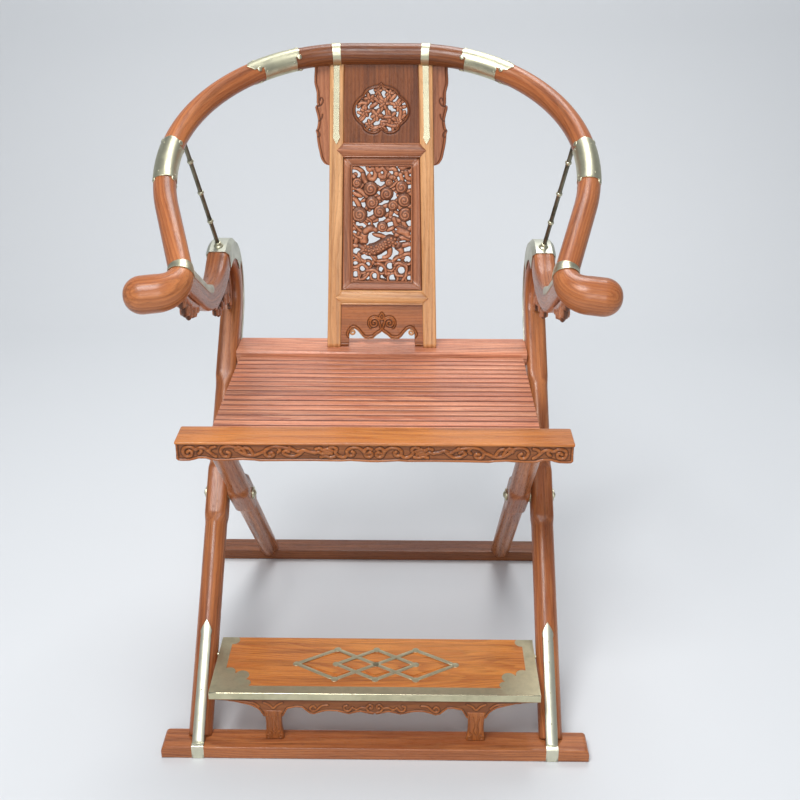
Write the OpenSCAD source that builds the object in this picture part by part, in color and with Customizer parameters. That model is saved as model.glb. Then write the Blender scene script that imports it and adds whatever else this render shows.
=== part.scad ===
// Folding armchair with a horseshoe back. Millimetres, +Z up, the sitter faces -Y.
// Origin: on the floor, midway between the two ground runners and between the sides.

/* [Base] */
// Outer depth over both ground runners
base_depth = 641; // [600:1:700]
// Length of each ground runner
runner_length = 700; // [660:1:760]
// Depth of a runner, front to back
runner_depth = 46; // [40:1:54]
// Height of a runner
runner_height = 24; // [20:1:30]
// Radius of the rounded runner ends
runner_round = 8; // [4:1:12]

/* [Legs] */
// Height of the folding pivot above the floor
pivot_height = 314; // [300:1:330]
// Distance of the pivot behind the middle of the base
pivot_back = 9.5; // [0:0.5:20]
// Distance between the axes of the two arm legs
arm_leg_spacing = 580; // [560:1:610]
// Diameter of the round part of an arm leg
arm_leg_dia = 39; // [36:0.5:42]
// Diameter of a cross leg
cross_leg_dia = 38; // [34:0.5:40]
// Free gap between an arm leg and the cross leg beside it
leg_gap = 4; // [3:0.5:6]
// Depth of the swelling that holds the pivot
pivot_swell = 46; // [42:1:52]
// Length of the swelling along the leg
pivot_swell_length = 116; // [90:2:130]
// Diameter of the pivot pins
pivot_pin_dia = 10; // [8:0.5:12]
// Diameter of the pivot washers
washer_dia = 22; // [18:1:28]

/* [Arm leg top] */
// Depth of the squared upper leg and of its bend
stem_depth = 44; // [40:1:48]
// Width of the chamfers on the squared leg
stem_chamfer = 6; // [3:0.5:8]
// Where the round leg turns square, above the pivot
stem_square_from = 205; // [195:1:225]
// Where the leg starts to bend forward, above the pivot
stem_bend_from = 354; // [345:1:360]
// Radius of the bend on its centre line
neck_radius = 82; // [76:1:88]
// Angle at which the bend ends, from +Y towards +Z
neck_end_angle = 120; // [115:1:124]
// Radius of the dip after the bend
dip_radius = 170; // [150:1:190]
// Angle that the dip turns through
dip_turn = 60; // [54:1:64]
// Width of the branch where it meets the armrest
branch_tip_width = 24; // [20:1:28]

/* [Seat] */
// Height of the tops of both seat rails
seat_height = 522; // [505:1:535]
// Thickness of the seat rails
rail_thick = 27; // [24:0.5:30]
// Length of the front seat rail
front_rail_length = 618; // [600:1:640]
// Depth of the front seat rail
front_rail_depth = 59.5; // [54:0.5:64]
// How far the front seat rail sits behind the crossing of its mid-height with the legs' axes
front_rail_lap = 3; // [0:0.5:6]
// Depth of the rear seat rail
rear_rail_depth = 72; // [66:0.5:76]
// How far the carved apron hangs below the front rail
apron_drop = 7; // [4:0.5:10]
// Thickness of the carved apron
apron_thick = 16; // [10:0.5:20]
// Length of a slat
slat_length = 525; // [500:1:530]
// Thickness of a slat
slat_thick = 9; // [8:0.5:9.5]
// Edge rounding of a slat
slat_round = 4; // [2:0.25:4]
// Depth of the slats' middle below the tops of the rails
slat_drop = 12; // [11:0.5:13]
// Gap between neighbouring slats
slat_seam = 3.6; // [3.2:0.1:4]
// Gap between a seat rail and its first slat
rail_seam = 3.2; // [3:0.1:4]
// Gap in the middle of the slat mat, where the two halves part
middle_seam = 4.9; // [4.5:0.1:6.5]
// Running clearance round the slat knuckles and the seat hinge grooves
slat_clearance = 0.3; // [0.25:0.05:0.35]
// Length of one slat knuckle
knuckle_length = 8; // [5:0.5:12]

/* [Horseshoe rail] */
// Diameter of the round rail
rail_dia = 36; // [33:0.5:38]
// Height of the rail's axis at the crest
crest_height = 1040; // [1025:1:1060]
// Distance of the rail's axis behind the middle of the base, at the crest
crest_back = 278; // [270:0.5:290]
// Slope of the rail's plane
rail_slope = 30; // [29:0.25:31]
// Length of the straight middle of the crest
crest_straight = 105.5; // [90:0.5:120]
// Radius of the shoulders
shoulder_radius = 282.4; // [275:0.2:290]
// Angle that a shoulder turns through
shoulder_turn = 85.3; // [83:0.1:87]
// Radius of the arms
arm_radius = 326; // [310:1:340]
// Angle that an arm turns through
arm_turn = 21.1; // [19:0.1:23]
// Straight length of an arm before its end curl
arm_straight = 136; // [125:1:145]
// Bend radius of the end curl
curl_radius = 36; // [32:0.5:40]
// Angle that the end curl turns through
curl_turn = 98; // [90:1:104]
// Radius of the bulbous end
curl_end_radius = 28.5; // [26:0.5:30]
// Straight reach of the bulbous end beyond the curl
curl_reach = 20; // [8:1:24]
// Heading at which the crest piece meets the shoulder piece
crest_joint = 28.1; // [24:0.1:30]

/* [Brass] */
// Thickness of sleeves, plates and straps
brass_thick = 1.2; // [1:0.1:1.6]
// Clearance between brass and wood
brass_fit = 0.1; // [0.05:0.01:0.12]
// Angle covered by a crest sleeve
crest_sleeve_turn = 20; // [14:0.1:22]
// Angle of the shoulder that a shoulder sleeve covers
shoulder_sleeve_up = 5; // [3:0.5:8]
// Angle of the arm that a shoulder sleeve covers
shoulder_sleeve_down = 12; // [9:0.5:14]
// Angle covered by a crest band
crest_band_turn = 1.5; // [1.2:0.1:2.4]
// Length of the ring before the end curl
ring_length = 15; // [10:0.5:18]
// Width of the strips on the legs
strip_width = 15; // [10:0.5:16]
// Width of the strips on the splat's stiles
stile_strip_width = 12.5; // [9:0.5:15]
// Length of the strip up the front of an arm leg
leg_strip_length = 148; // [120:1:170]

/* [Brace rods] */
// Diameter of a brace rod
rod_dia = 7.4; // [6:0.2:8]
// Diameter of the collars on a rod
rod_collar_dia = 11; // [9:0.5:13]
// Diameter of the flange at the foot of a rod
rod_flange_dia = 18; // [14:0.5:20]
// Heading along the shoulder at which a rod meets the rail
rod_heading = 74; // [70:0.5:76]
// Angle on the bend at which the rod stands
rod_foot_angle = 104; // [100:1:108]

/* [Back splat] */
// Width of the splat over its stiles at the seat
splat_bottom_width = 205; // [195:1:212]
// Width of the splat over its stiles at the crest
splat_top_width = 180; // [170:1:188]
// Thickness of the stiles
stile_thick = 18; // [15:0.5:22]
// Width of a stile
stile_width = 25; // [22:0.5:28]
// Thickness of the panels between the stiles
panel_thick = 11; // [8:0.5:13]
// How far the splat bows to the rear
splat_bow = 14; // [8:1:20]
// Offset of the splat's foot behind the middle of the base
splat_foot_back = 204.5; // [198:0.5:212]
// Offset of the splat's top behind the middle of the base
splat_head_back = 279.5; // [270:0.5:290]
// Height of the bottom panel above the seat
foot_panel_height = 78; // [64:1:86]
// Height of each moulded cross rail
moulding_height = 25; // [16:1:28]
// Height of the carved panel with its frame
carved_height = 239; // [228:1:250]
// Width of the carved panel's frame
carved_frame = 17; // [14:0.5:20]
// Width of a side wing
wing_width = 27.5; // [22:0.5:34]
// Height of a side wing
wing_height = 173; // [155:1:182]
// Thickness of a side wing
wing_thick = 12; // [8:0.5:14]
// Radius of the pierced medallion's lobes
medallion_lobe = 23; // [20:0.5:25]

/* [Footrest] */
// Height of the footrest's top
footrest_height = 120; // [105:1:135]
// Depth of the footrest board
footrest_depth = 146; // [130:1:160]
// Width of the brass border round the footrest
footrest_border = 19; // [14:0.5:24]
// Thickness of the footrest board
footrest_thick = 12.5; // [12:0.5:16]
// Set-back of the footrest's front edge from the front runner's face
footrest_setback = 18.6; // [14:0.2:22]
// Side clearance between the footrest and the arm legs
footrest_fit = 2.5; // [1.5:0.1:3]
// Diameter of the footrest's pins
footrest_pin_dia = 7; // [5:0.5:8]
// Distance between the two little feet
foot_spacing = 331; // [300:1:360]
// Width of a little foot
foot_width = 31; // [22:1:34]
// Drop of the footrest's carved skirt
skirt_drop = 30; // [22:1:36]
// Thickness of the skirt and feet
skirt_thick = 14; // [10:0.5:18]

/* [Hidden] */
fit = 0.3;
pin_fit = 0.05;
// How far the squared parts stand out beyond the round legs on each side.
block_swell = 0.25;
// Overlap of the dip with the bend, in degrees, and its extra thickness.
dip_lap = 0.35;
dip_step = 0.05;
$fn = 48;
foot_y = base_depth / 2 - runner_depth / 2;
foot_z = runner_height / 2;
// Arm legs run from the front runner up to the back, cross legs the other way.
arm_run = pivot_back + foot_y;
cross_run = foot_y - pivot_back;
leg_rise = pivot_height - foot_z;
arm_angle = atan2(leg_rise, arm_run);
cross_angle = atan2(leg_rise, cross_run);
arm_foot = norm([arm_run, leg_rise]);
cross_foot = norm([cross_run, leg_rise]);
arm_x = arm_leg_spacing / 2;
cross_x = arm_x - arm_leg_dia / 2 - leg_gap - cross_leg_dia / 2;
inner_face = arm_x - arm_leg_dia / 2;
rail_mid = seat_height - rail_thick / 2;
rear_rail_y = pivot_back + (rail_mid - pivot_height) / tan(arm_angle);
front_rail_y = pivot_back - (rail_mid - pivot_height) / tan(cross_angle) + front_rail_lap;
rear_edge = rear_rail_y - rear_rail_depth / 2;
front_edge = front_rail_y + front_rail_depth / 2;
// Slat mat: ten slats follow the rear rail and six the front rail.
slats = 16;
rear_slats = 10;
hinge_step = (slat_thick - rail_seam) / 2 + 3 * slat_clearance;
slat_z = seat_height - slat_drop;
mat_depth = rear_edge - front_edge;
slat_width = (mat_depth - 2 * rail_seam - (slats - 2) * slat_seam - middle_seam) / slats;
// Bend of the arm leg.
neck_start_angle = arm_angle - 90;
bend_y = pivot_back + stem_bend_from * cos(arm_angle) - neck_radius * sin(arm_angle);
bend_z = pivot_height + stem_bend_from * sin(arm_angle) + neck_radius * cos(arm_angle);
dip_y = bend_y + (neck_radius + dip_radius) * cos(neck_end_angle);
dip_z = bend_z + (neck_radius + dip_radius) * sin(neck_end_angle);
dip_start = neck_end_angle + 180;
dip_end = dip_start - dip_turn;
tip_y = dip_y + dip_radius * cos(dip_end);
tip_z = dip_z + dip_radius * sin(dip_end);
// Straight end of the branch, rising to the armrest's axis.
tip_angle = dip_end - 90;
tip_length = (crest_height - tip_z - (crest_back - tip_y) * tan(rail_slope))
    / (sin(tip_angle) - cos(tip_angle) * tan(rail_slope)) - 4;
// Horseshoe rail, in its own plane: x to the side, y forward along the slope.
s_head = shoulder_turn;
a_head = s_head + arm_turn;
shoulder_x = crest_straight / 2;
shoulder_y = shoulder_radius;
arm_cx = shoulder_x + (shoulder_radius - arm_radius) * sin(s_head);
arm_cy = shoulder_y - (shoulder_radius - arm_radius) * cos(s_head);
arm_ex = arm_cx + arm_radius * sin(a_head);
arm_ey = arm_cy - arm_radius * cos(a_head);
curl_sx = arm_ex + arm_straight * cos(a_head);
curl_sy = arm_ey + arm_straight * sin(a_head);
curl_cx = curl_sx + curl_radius * sin(a_head);
curl_cy = curl_sy - curl_radius * cos(a_head);
// Splat: a bow through its foot and head.
splat_run = splat_head_back - splat_foot_back;
splat_head_z = crest_height - rail_dia / 2;
splat_rise = splat_head_z - seat_height;
splat_chord = norm([splat_run, splat_rise]);
bow_radius = (pow(splat_chord / 2, 2) + pow(splat_bow, 2)) / (2 * splat_bow);
bow_y = splat_foot_back + splat_run / 2 - (bow_radius - splat_bow) * splat_rise / splat_chord;
bow_z = seat_height + splat_rise / 2 + (bow_radius - splat_bow) * splat_run / splat_chord;
bow_span = 2 * asin(splat_chord / 2 / bow_radius) + 3;
bow_tilt = atan2(splat_run, splat_rise);
stile_top_in = splat_top_width / 2 - stile_width;
taper = (splat_bottom_width - splat_top_width) / 2 / splat_rise;
carved_z = seat_height + foot_panel_height + moulding_height;
upper_z = carved_z + carved_height;
carved_mid = carved_z + carved_height / 2;
top_z = upper_z + moulding_height;
open_width = splat_bottom_width - 2 * (taper * (carved_z - seat_height) + stile_width + carved_frame) - 10;
open_height = carved_height - 2 * carved_frame;
wing_z = splat_head_z - wing_height;
// The medallion keeps its share of the top panel's height.
medallion_share = (splat_head_z - top_z) / 140;
medallion_z = top_z + 62 * medallion_share;
// Footrest.
board_front = -base_depth / 2 + footrest_setback;
board_mid_z = footrest_height - footrest_thick / 2;
board_pin_y = pivot_back - (pivot_height - board_mid_z) / tan(arm_angle);
board_length = 2 * (inner_face - footrest_fit);
// Length of the strip on top of the runner, up to the leg.
foot_strip = base_depth / 2 - foot_y + (runner_height - foot_z) / tan(arm_angle)
    - (arm_leg_dia / 2 + brass_fit) / sin(arm_angle);

wood = [0.62, 0.30, 0.16];
wood_light = [0.80, 0.56, 0.34];
brass = [0.80, 0.74, 0.50];
iron = [0.25, 0.22, 0.18];

// Shared shapes

// Both sides of something drawn on the right.
module both() {
    children();
    mirror([1, 0, 0]) children();
}

// Profile in the YZ plane, extruded along X and centred there.
module side(width) {
    rotate([90, 0, 90]) linear_extrude(width, center = true) children();
}

// Front outline (x, z) extruded along Y from y0 to y1.
module front(y0, y1) {
    translate([0, y1, 0]) rotate([90, 0, 0]) linear_extrude(y1 - y0) children();
}

// Square section with chamfered corners, grown by g.
module squared(w, d, c, g = 0) {
    a = w / 2 + g;
    b = d / 2 + g;
    k = c + g * 0.6;
    polygon([[-a, -b + k], [-a + k, -b], [a - k, -b], [a, -b + k],
        [a, b - k], [a - k, b], [-a + k, b], [-a, b - k]]);
}

// Rounded rectangle with true round corners.
module rounded(w, h, r) {
    square([w - 2 * r, h], center = true);
    square([w, h - 2 * r], center = true);
    for (i = [-1, 1], j = [-1, 1])
        translate([i * (w / 2 - r), j * (h / 2 - r)]) circle(r);
}

// Line of width w through a list of points, with round ends.
module stroke(pts, w) {
    for (i = [0 : len(pts) - 1]) translate(pts[i]) circle(w * 0.53);
    for (i = [0 : len(pts) - 2]) {
        d = pts[i + 1] - pts[i];
        translate(pts[i]) rotate(atan2(d[1], d[0])) translate([0, -w / 2])
            square([norm(d), w]);
    }
}

// Puts +Z along a leg from the pivot, at an angle from +Y towards +Z.
module along_leg(x, angle) {
    translate([x, pivot_back, pivot_height]) rotate([angle - 90, 0, 0]) children();
}

// Runners

module runner(y) {
    translate([0, y, runner_height / 2]) difference() {
        cube([runner_length, runner_depth, runner_height], center = true);
        for (i = [-1, 1]) translate([i * (runner_length / 2 - runner_round), 0, 0])
            difference() {
                translate([i * runner_round, 0, runner_height / 2])
                    cube([2 * runner_round, runner_depth + 1, 2 * runner_round], center = true);
                translate([0, 0, runner_height / 2 - runner_round]) rotate([90, 0, 0])
                    cylinder(r = runner_round, h = runner_depth + 2, center = true);
            }
    }
}

module front_runner() {
    w = strip_width + 2 * brass_fit;
    deep = brass_thick + brass_fit;
    color(wood) difference() {
        runner(-foot_y);
        // Recesses for the brass strips that run down from the legs.
        for (i = [-1, 1]) translate([i * arm_x - w / 2, -base_depth / 2 - 1, 0]) {
            translate([0, 0, -1]) cube([w, deep + 1, runner_height + 2]);
            translate([0, 0, runner_height - deep]) cube([w, foot_strip + 1 + brass_fit, deep + 1]);
        }
    }
}

module rear_runner() {
    color(wood) runner(foot_y);
}

// Legs

// Side outline of the swelling round the pivot, along the leg.
module swell(dia) {
    h = pivot_swell_length / 2;
    k = pivot_swell / 2;
    r = dia / 2 - 1.5;
    polygon([[-r, -h], [-k, -h + 18], [-k, h - 18], [-r, h],
        [r, h], [k, h - 18], [k, -h + 18], [r, -h]]);
}

module pivot_block(dia) {
    intersection() {
        side(dia + 2 * block_swell) swell(dia);
        linear_extrude(pivot_swell_length, center = true)
            squared(dia + 2 * block_swell, pivot_swell, stem_chamfer);
    }
}

module pivot_bore(r) {
    rotate([0, 90, 0]) cylinder(r = r, h = arm_leg_dia + 2 * leg_gap, center = true);
}

// Middle of the bend, with +X towards an angle on it, for shapes in the YZ plane.
module at_bend(angle) {
    translate([0, bend_y, bend_z]) rotate([90, 0, 90]) rotate(angle) children();
}

// Squared branch from the round leg through the bend and the dip to its tip.
module branch(g) {
    at_bend(neck_start_angle) {
        translate([neck_radius, 0, 0]) rotate([90, 0, 0])
            linear_extrude(stem_bend_from - stem_square_from) branch_section(g);
        rotate_extrude(angle = neck_end_angle - neck_start_angle) translate([neck_radius, 0])
            branch_section(g);
    }
    // The dip laps over the end of the bend, and the tip over the dip, each a hair thicker.
    intersection() {
        at_bend(neck_end_angle) translate([neck_radius + dip_radius, 0, 0]) rotate(180) {
            rotate(dip_lap) rotate_extrude(angle = -dip_turn - dip_lap)
                translate([dip_radius, 0]) branch_section(g + dip_step);
            rotate(-dip_turn) translate([dip_radius, 1, 0]) rotate([90, 0, 0])
                linear_extrude(tip_length + 1) branch_section(g + 2 * dip_step);
        }
        branch_wedge(g);
    }
}

module branch_section(g) {
    squared(stem_depth, arm_leg_dia + 2 * block_swell, stem_chamfer, g);
}

// Wedge seen from above that narrows the branch towards the armrest.
module branch_wedge(g) {
    y1 = dip_y + dip_radius * cos(dip_start) - 12;
    a = arm_leg_dia / 2 + block_swell + g;
    b = branch_tip_width / 2 + g;
    c = a + 40 * (a - b) / (y1 - tip_y);
    translate([0, 0, bend_z - 300]) linear_extrude(600)
        polygon([[-c, y1 + 40], [c, y1 + 40], [b, tip_y], [b, tip_y - 190],
            [-b, tip_y - 190], [-b, tip_y]]);
}

module arm_leg_solid() {
    zc = runner_height;
    difference() {
        union() {
            intersection() {
                along_leg(arm_x, arm_angle) translate([0, 0, -arm_foot - 30])
                    cylinder(d = arm_leg_dia, h = arm_foot + 30 + stem_square_from + 2);
                translate([arm_x, 0, zc + 400]) cube([80, 1200, 800], center = true);
            }
            along_leg(arm_x, arm_angle) pivot_block(arm_leg_dia);
            translate([arm_x, 0, 0]) branch(0);
        }
        along_leg(arm_x, arm_angle) pivot_bore(pivot_pin_dia / 2);
        translate([arm_x, board_pin_y, board_mid_z]) rotate([0, 90, 0])
            cylinder(d = footrest_pin_dia + 2 * pin_fit, h = arm_leg_dia + 1, center = true);
        rail_space(brass_thick + 3 * brass_fit);
    }
}

module arm_leg_right() {
    color(wood) arm_leg_solid();
}

module arm_leg_left() {
    color(wood) mirror([1, 0, 0]) arm_leg_solid();
}

module cross_leg_solid() {
    top = seat_height - rail_thick;
    difference() {
        intersection() {
            along_leg(cross_x, 180 - cross_angle) union() {
                translate([0, 0, -cross_foot - 30])
                    cylinder(d = cross_leg_dia, h = 2 * cross_foot + 60);
                pivot_block(cross_leg_dia);
            }
            translate([cross_x, 0, (top + runner_height) / 2])
                cube([80, 1200, top - runner_height], center = true);
        }
        along_leg(cross_x, cross_angle) pivot_bore(pivot_pin_dia / 2 + pin_fit);
    }
}

module cross_leg_right() {
    color(wood) cross_leg_solid();
}

module cross_leg_left() {
    color(wood) mirror([1, 0, 0]) cross_leg_solid();
}

// Pins through both legs, with a washer between the legs and a domed head at each end.
module pivot_pins() {
    x0 = cross_x - cross_leg_dia / 2 - block_swell - fit;
    x1 = arm_x + arm_leg_dia / 2 + block_swell;
    gap = leg_gap - 2 * block_swell - fit;
    color(brass) both() translate([0, pivot_back, pivot_height]) rotate([0, 90, 0]) {
        translate([0, 0, x0 - 1]) cylinder(d = pivot_pin_dia, h = x1 - x0 + 2);
        translate([0, 0, x0 - 2.5]) cylinder(d = washer_dia, h = 2.5);
        translate([0, 0, x0 - 2.5]) dome(7, 4, -1);
        translate([0, 0, x1]) cylinder(d = washer_dia, h = 2);
        translate([0, 0, x1 + 2]) dome(7, 4, 1);
        translate([0, 0, inner_face - block_swell - gap]) cylinder(d = washer_dia + 4, h = gap);
    }
}

// Cap of a sphere, r wide and h high, on the side given by dir.
module dome(r, h, dir) {
    big = (r * r + h * h) / (2 * h);
    intersection() {
        translate([0, 0, dir * (h - big)]) sphere(big);
        translate([0, 0, dir * h / 2]) cube([3 * r, 3 * r, h], center = true);
    }
}

// Horseshoe rail

module in_rail_plane() {
    translate([0, crest_back, crest_height]) rotate([180 + rail_slope, 0, 0]) children();
}

// Part of a shoulder between two headings.
module shoulder_arc(h0, h1) {
    translate([shoulder_x, shoulder_y, 0]) rotate(h0 - 90)
        rotate_extrude(angle = h1 - h0, $fn = 180) translate([shoulder_radius, 0]) children();
}

// Frame at the front end of an arm's arc, where its straight part begins.
module at_arm_end() {
    translate([arm_cx, arm_cy, 0]) rotate(a_head - 90) children();
}

// Part of an arm's arc, between two angles back from its front end.
module arm_arc(a0, a1) {
    at_arm_end() rotate(-a0) rotate_extrude(angle = a0 - a1, $fn = 180)
        translate([arm_radius, 0]) children();
}

module arm_line(from, length) {
    at_arm_end() translate([arm_radius, from, 0]) rotate([-90, 0, 0])
        linear_extrude(length) children();
}

module tube(r1, r0) {
    difference() {
        circle(r1);
        circle(r0);
    }
}

module crest_rail() {
    r = rail_dia / 2;
    color(wood) in_rail_plane() {
        rotate([0, 90, 0]) cylinder(r = r, h = crest_straight, center = true);
        both() shoulder_arc(0, crest_joint) circle(r);
    }
}

module shoulder_solid() {
    in_rail_plane() shoulder_arc(crest_joint, s_head) circle(rail_dia / 2);
}

module shoulder_rail_right() {
    color(wood) shoulder_solid();
}

module shoulder_rail_left() {
    color(wood) mirror([1, 0, 0]) shoulder_solid();
}

// Point and radius along the end curl, t from 0 to 1.
function curl_r(t) = rail_dia / 2 + (curl_end_radius - rail_dia / 2) * pow(t, 0.8);
function curl_at(t) = let (h = a_head - curl_turn * t)
    [curl_cx - curl_radius * sin(h), curl_cy + curl_radius * cos(h), 0];

module curl_ball(t) {
    translate(curl_at(t)) rotate(a_head - curl_turn * t) rotate([0, 90, 0])
        sphere(curl_r(t), $fn = 24);
}

module arm_solid() {
    in_rail_plane() {
        arm_arc(0, arm_turn) circle(rail_dia / 2);
        arm_line(0, arm_straight) circle(rail_dia / 2);
    }
}

module arm_rail_right() {
    color(wood) arm_solid();
}

module arm_rail_left() {
    color(wood) mirror([1, 0, 0]) arm_solid();
}

module curl_solid() {
    in_rail_plane() difference() {
        union() {
            for (i = [0 : 3]) hull() {
                curl_ball(i / 4);
                curl_ball((i + 1) / 4);
            }
            hull() {
                curl_ball(1);
                translate([curl_reach, 0, 0]) curl_ball(1);
            }
        }
        arm_line(-50, arm_straight + 50) square(4 * rail_dia, center = true);
    }
}

module arm_curl_right() {
    color(wood) curl_solid();
}

module arm_curl_left() {
    color(wood) mirror([1, 0, 0]) curl_solid();
}

// Room for the arm and the start of its curl where the branch meets them.
module rail_space(g) {
    in_rail_plane() {
        arm_line(-10, arm_straight + 12) circle(rail_dia / 2 + g);
        curl_tube(0, 0.35, curl_r(0.35) + 0.5);
        curl_tube(0.3, 0.75, curl_r(0.75) + 0.5);
    }
}

// Tube of radius r round the end curl's axis, between two parts of its turn.
module curl_tube(t0, t1, r) {
    translate([curl_cx, curl_cy, 0]) rotate(a_head + 90 - curl_turn * t0)
        rotate_extrude(angle = -curl_turn * (t1 - t0)) translate([curl_radius, 0]) circle(r);
}

module crest_sleeves() {
    r0 = rail_dia / 2 + brass_fit;
    color(brass) in_rail_plane() both()
        shoulder_arc(crest_joint - crest_sleeve_turn / 2, crest_joint + crest_sleeve_turn / 2)
            tube(r0 + brass_thick, r0);
}

module shoulder_sleeves() {
    r0 = rail_dia / 2 + brass_fit;
    color(brass) in_rail_plane() both() {
        shoulder_arc(s_head - shoulder_sleeve_up, s_head) tube(r0 + brass_thick, r0);
        arm_arc(arm_turn - shoulder_sleeve_down, arm_turn) tube(r0 + brass_thick, r0);
    }
}

module arm_rings() {
    r0 = rail_dia / 2 + brass_fit;
    color(brass) in_rail_plane() both()
        arm_line(arm_straight - ring_length, ring_length) tube(r0 + brass_thick, r0);
}

module crest_bands() {
    r0 = rail_dia / 2 + brass_fit;
    band = asin((splat_top_width / 2 - stile_width / 2 - shoulder_x) / shoulder_radius);
    color(brass) in_rail_plane() both()
        shoulder_arc(band - crest_band_turn, band + crest_band_turn)
            tube(r0 + brass_thick, r0);
}

// Seat rails

module rear_seat_rail() {
    top = seat_height;
    bottom = seat_height - rail_thick;
    y0 = rear_edge;
    y1 = rear_edge + rear_rail_depth;
    color(wood) {
        // The step under the front edge leaves room for the first slat when it hangs.
        side(2 * (inner_face - block_swell)) polygon([[y0, top - 3], [y0 + 3, top], [y1, top], [y1, bottom],
            [y0 + 9, bottom], [y0 + hinge_step, slat_z - 8], [y0 + hinge_step, slat_z + 1],
            [y0, slat_z + 1]]);
    }
}

module front_seat_rail() {
    top = seat_height;
    bottom = seat_height - rail_thick;
    y0 = front_edge - front_rail_depth;
    color(wood_light) {
        side(front_rail_length) polygon([[y0, top - 4], [y0 + 2, top], [front_edge - 3, top],
            [front_edge, top - 3], [front_edge, bottom + 9], [front_edge - 9, bottom], [y0, bottom]]);
        difference() {
            front(y0 + 1, y0 + apron_thick) apron_outline();
            both() along_leg(cross_x, 180 - cross_angle)
                cylinder(d = cross_leg_dia + 2 * fit, h = 2 * cross_foot);
        }
    }
}

// Cusped lower edge of the front apron, in bays that narrow towards the ends.
module apron_outline() {
    w = front_rail_length / 2 - 3;
    top = seat_height - rail_thick + 2;
    low = seat_height - rail_thick - apron_drop;
    difference() {
        translate([-w, low]) square([2 * w, top - low]);
        for (i = [-1, 1], x = [0.135, 0.4, 0.62, 0.86])
            translate([i * x * w, low - 18]) circle(r = 22 - 6 * x);
        for (i = [-1, 1]) translate([i * (w + 9), low + 3]) circle(12);
    }
}

// Slats

// Back edge of slat i, counted from the rear rail.
function slat_back(i) = i <= rear_slats
    ? rear_edge - rail_seam - (i - 1) * (slat_width + slat_seam)
    : front_edge + rail_seam + slat_width + (slats - i) * (slat_width + slat_seam);

module slat(i) {
    rear = i <= rear_slats;
    y = slat_back(i) - slat_width / 2;
    gap = (i == 1 || i == slats) ? rail_seam : slat_seam;
    s = rear ? 1 : -1;
    r = gap / 2 - slat_clearance;
    color(wood) {
        translate([0, y, slat_z]) side(slat_length) rounded(slat_width, slat_thick, slat_round);
        // Knuckles that turn on the seam towards the rail.
        for (x = [-0.38, -0.13, 0.13, 0.38])
            translate([x * slat_length, y + s * (slat_width + gap) / 2, slat_z]) {
                rotate([0, 90, 0]) cylinder(r = r, h = knuckle_length, center = true);
                translate([0, -s * (gap / 4 + 0.5), 0])
                    cube([knuckle_length, gap / 2 + 1, 2 * r * 0.8], center = true);
            }
    }
}

module slat_01() { slat(1); }
module slat_02() { slat(2); }
module slat_03() { slat(3); }
module slat_04() { slat(4); }
module slat_05() { slat(5); }
module slat_06() { slat(6); }
module slat_07() { slat(7); }
module slat_08() { slat(8); }
module slat_09() { slat(9); }
module slat_10() { slat(10); }
module slat_11() { slat(11); }
module slat_12() { slat(12); }
module slat_13() { slat(13); }
module slat_14() { slat(14); }
module slat_15() { slat(15); }
module slat_16() { slat(16); }

// Back splat

// Bowed layer between two offsets from the splat's middle surface, + to the rear.
module bow(a, b) {
    width = splat_bottom_width + 4 * wing_width;
    translate([0, bow_y, bow_z]) rotate([90, 0, 90]) rotate(-bow_tilt - bow_span / 2)
        rotate_extrude(angle = bow_span, $fn = 1440) translate([bow_radius + a, -width / 2])
            square([b - a, width]);
}

// Front outline laid on the bowed surface.
module on_splat(a, b) {
    intersection() {
        bow(a, b);
        front(splat_foot_back - 60, splat_head_back + 60) children();
    }
}

function splat_half(z) = splat_bottom_width / 2 - taper * (z - seat_height);

module stile_outline() {
    z1 = splat_head_z + 6;
    polygon([[splat_half(seat_height), seat_height], [splat_half(z1), z1],
        [splat_half(z1) - stile_width, z1], [splat_half(seat_height) - stile_width, seat_height]]);
}

// Space between the stiles from z0 to z1, drawn in by g on each side.
module between(z0, z1, g = 0) {
    a = splat_half(z0) - stile_width - g;
    b = splat_half(z1) - stile_width - g;
    polygon([[-a, z0], [a, z0], [b, z1], [-b, z1]]);
}

// Six-sided outline of a moulded cross rail, pointed into the stiles.
module moulding_outline(z, g = 0) {
    m = z + moulding_height / 2;
    h = moulding_height / 2 + g;
    a = splat_half(m) - stile_width - g;
    p = a + stile_width * 0.45 + 2 * g;
    polygon([[-a, m - h], [a, m - h], [p, m], [a, m + h], [-a, m + h], [-p, m]]);
}

// Straight bore along the rail's chord between two side distances x0 and x1.
module crest_space(x0, x1, g) {
    p0 = crest_point(x0);
    p1 = crest_point(x1);
    d = p1 - p0;
    in_rail_plane() translate([p0[0], p0[1], 0]) rotate(atan2(d[1], d[0])) rotate([0, 90, 0])
        translate([0, 0, -40]) cylinder(r = rail_dia / 2 + g, h = norm(d) + 80);
}

// Point of the rail's axis at a side distance x.
function crest_point(x) = abs(x) < shoulder_x
    ? [x, 0]
    : [x, shoulder_y - sqrt(pow(shoulder_radius, 2) - pow(abs(x) - shoulder_x, 2))];

module stile_solid() {
    t = stile_thick / 2;
    difference() {
        on_splat(-t, t) difference() {
            stile_outline();
            moulding_outline(seat_height + foot_panel_height, brass_fit);
            moulding_outline(upper_z, brass_fit);
        }
        crest_space(stile_top_in, stile_top_in + stile_width, brass_thick + 3 * brass_fit);
    }
}

module splat_stile_right() {
    color(wood_light) stile_solid();
}

module splat_stile_left() {
    color(wood_light) mirror([1, 0, 0]) stile_solid();
}

module splat_mouldings() {
    t = stile_thick / 2;
    color(wood_light) for (z = [seat_height + foot_panel_height, upper_z])
        on_splat(-t - 2, t) moulding_outline(z);
}

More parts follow.
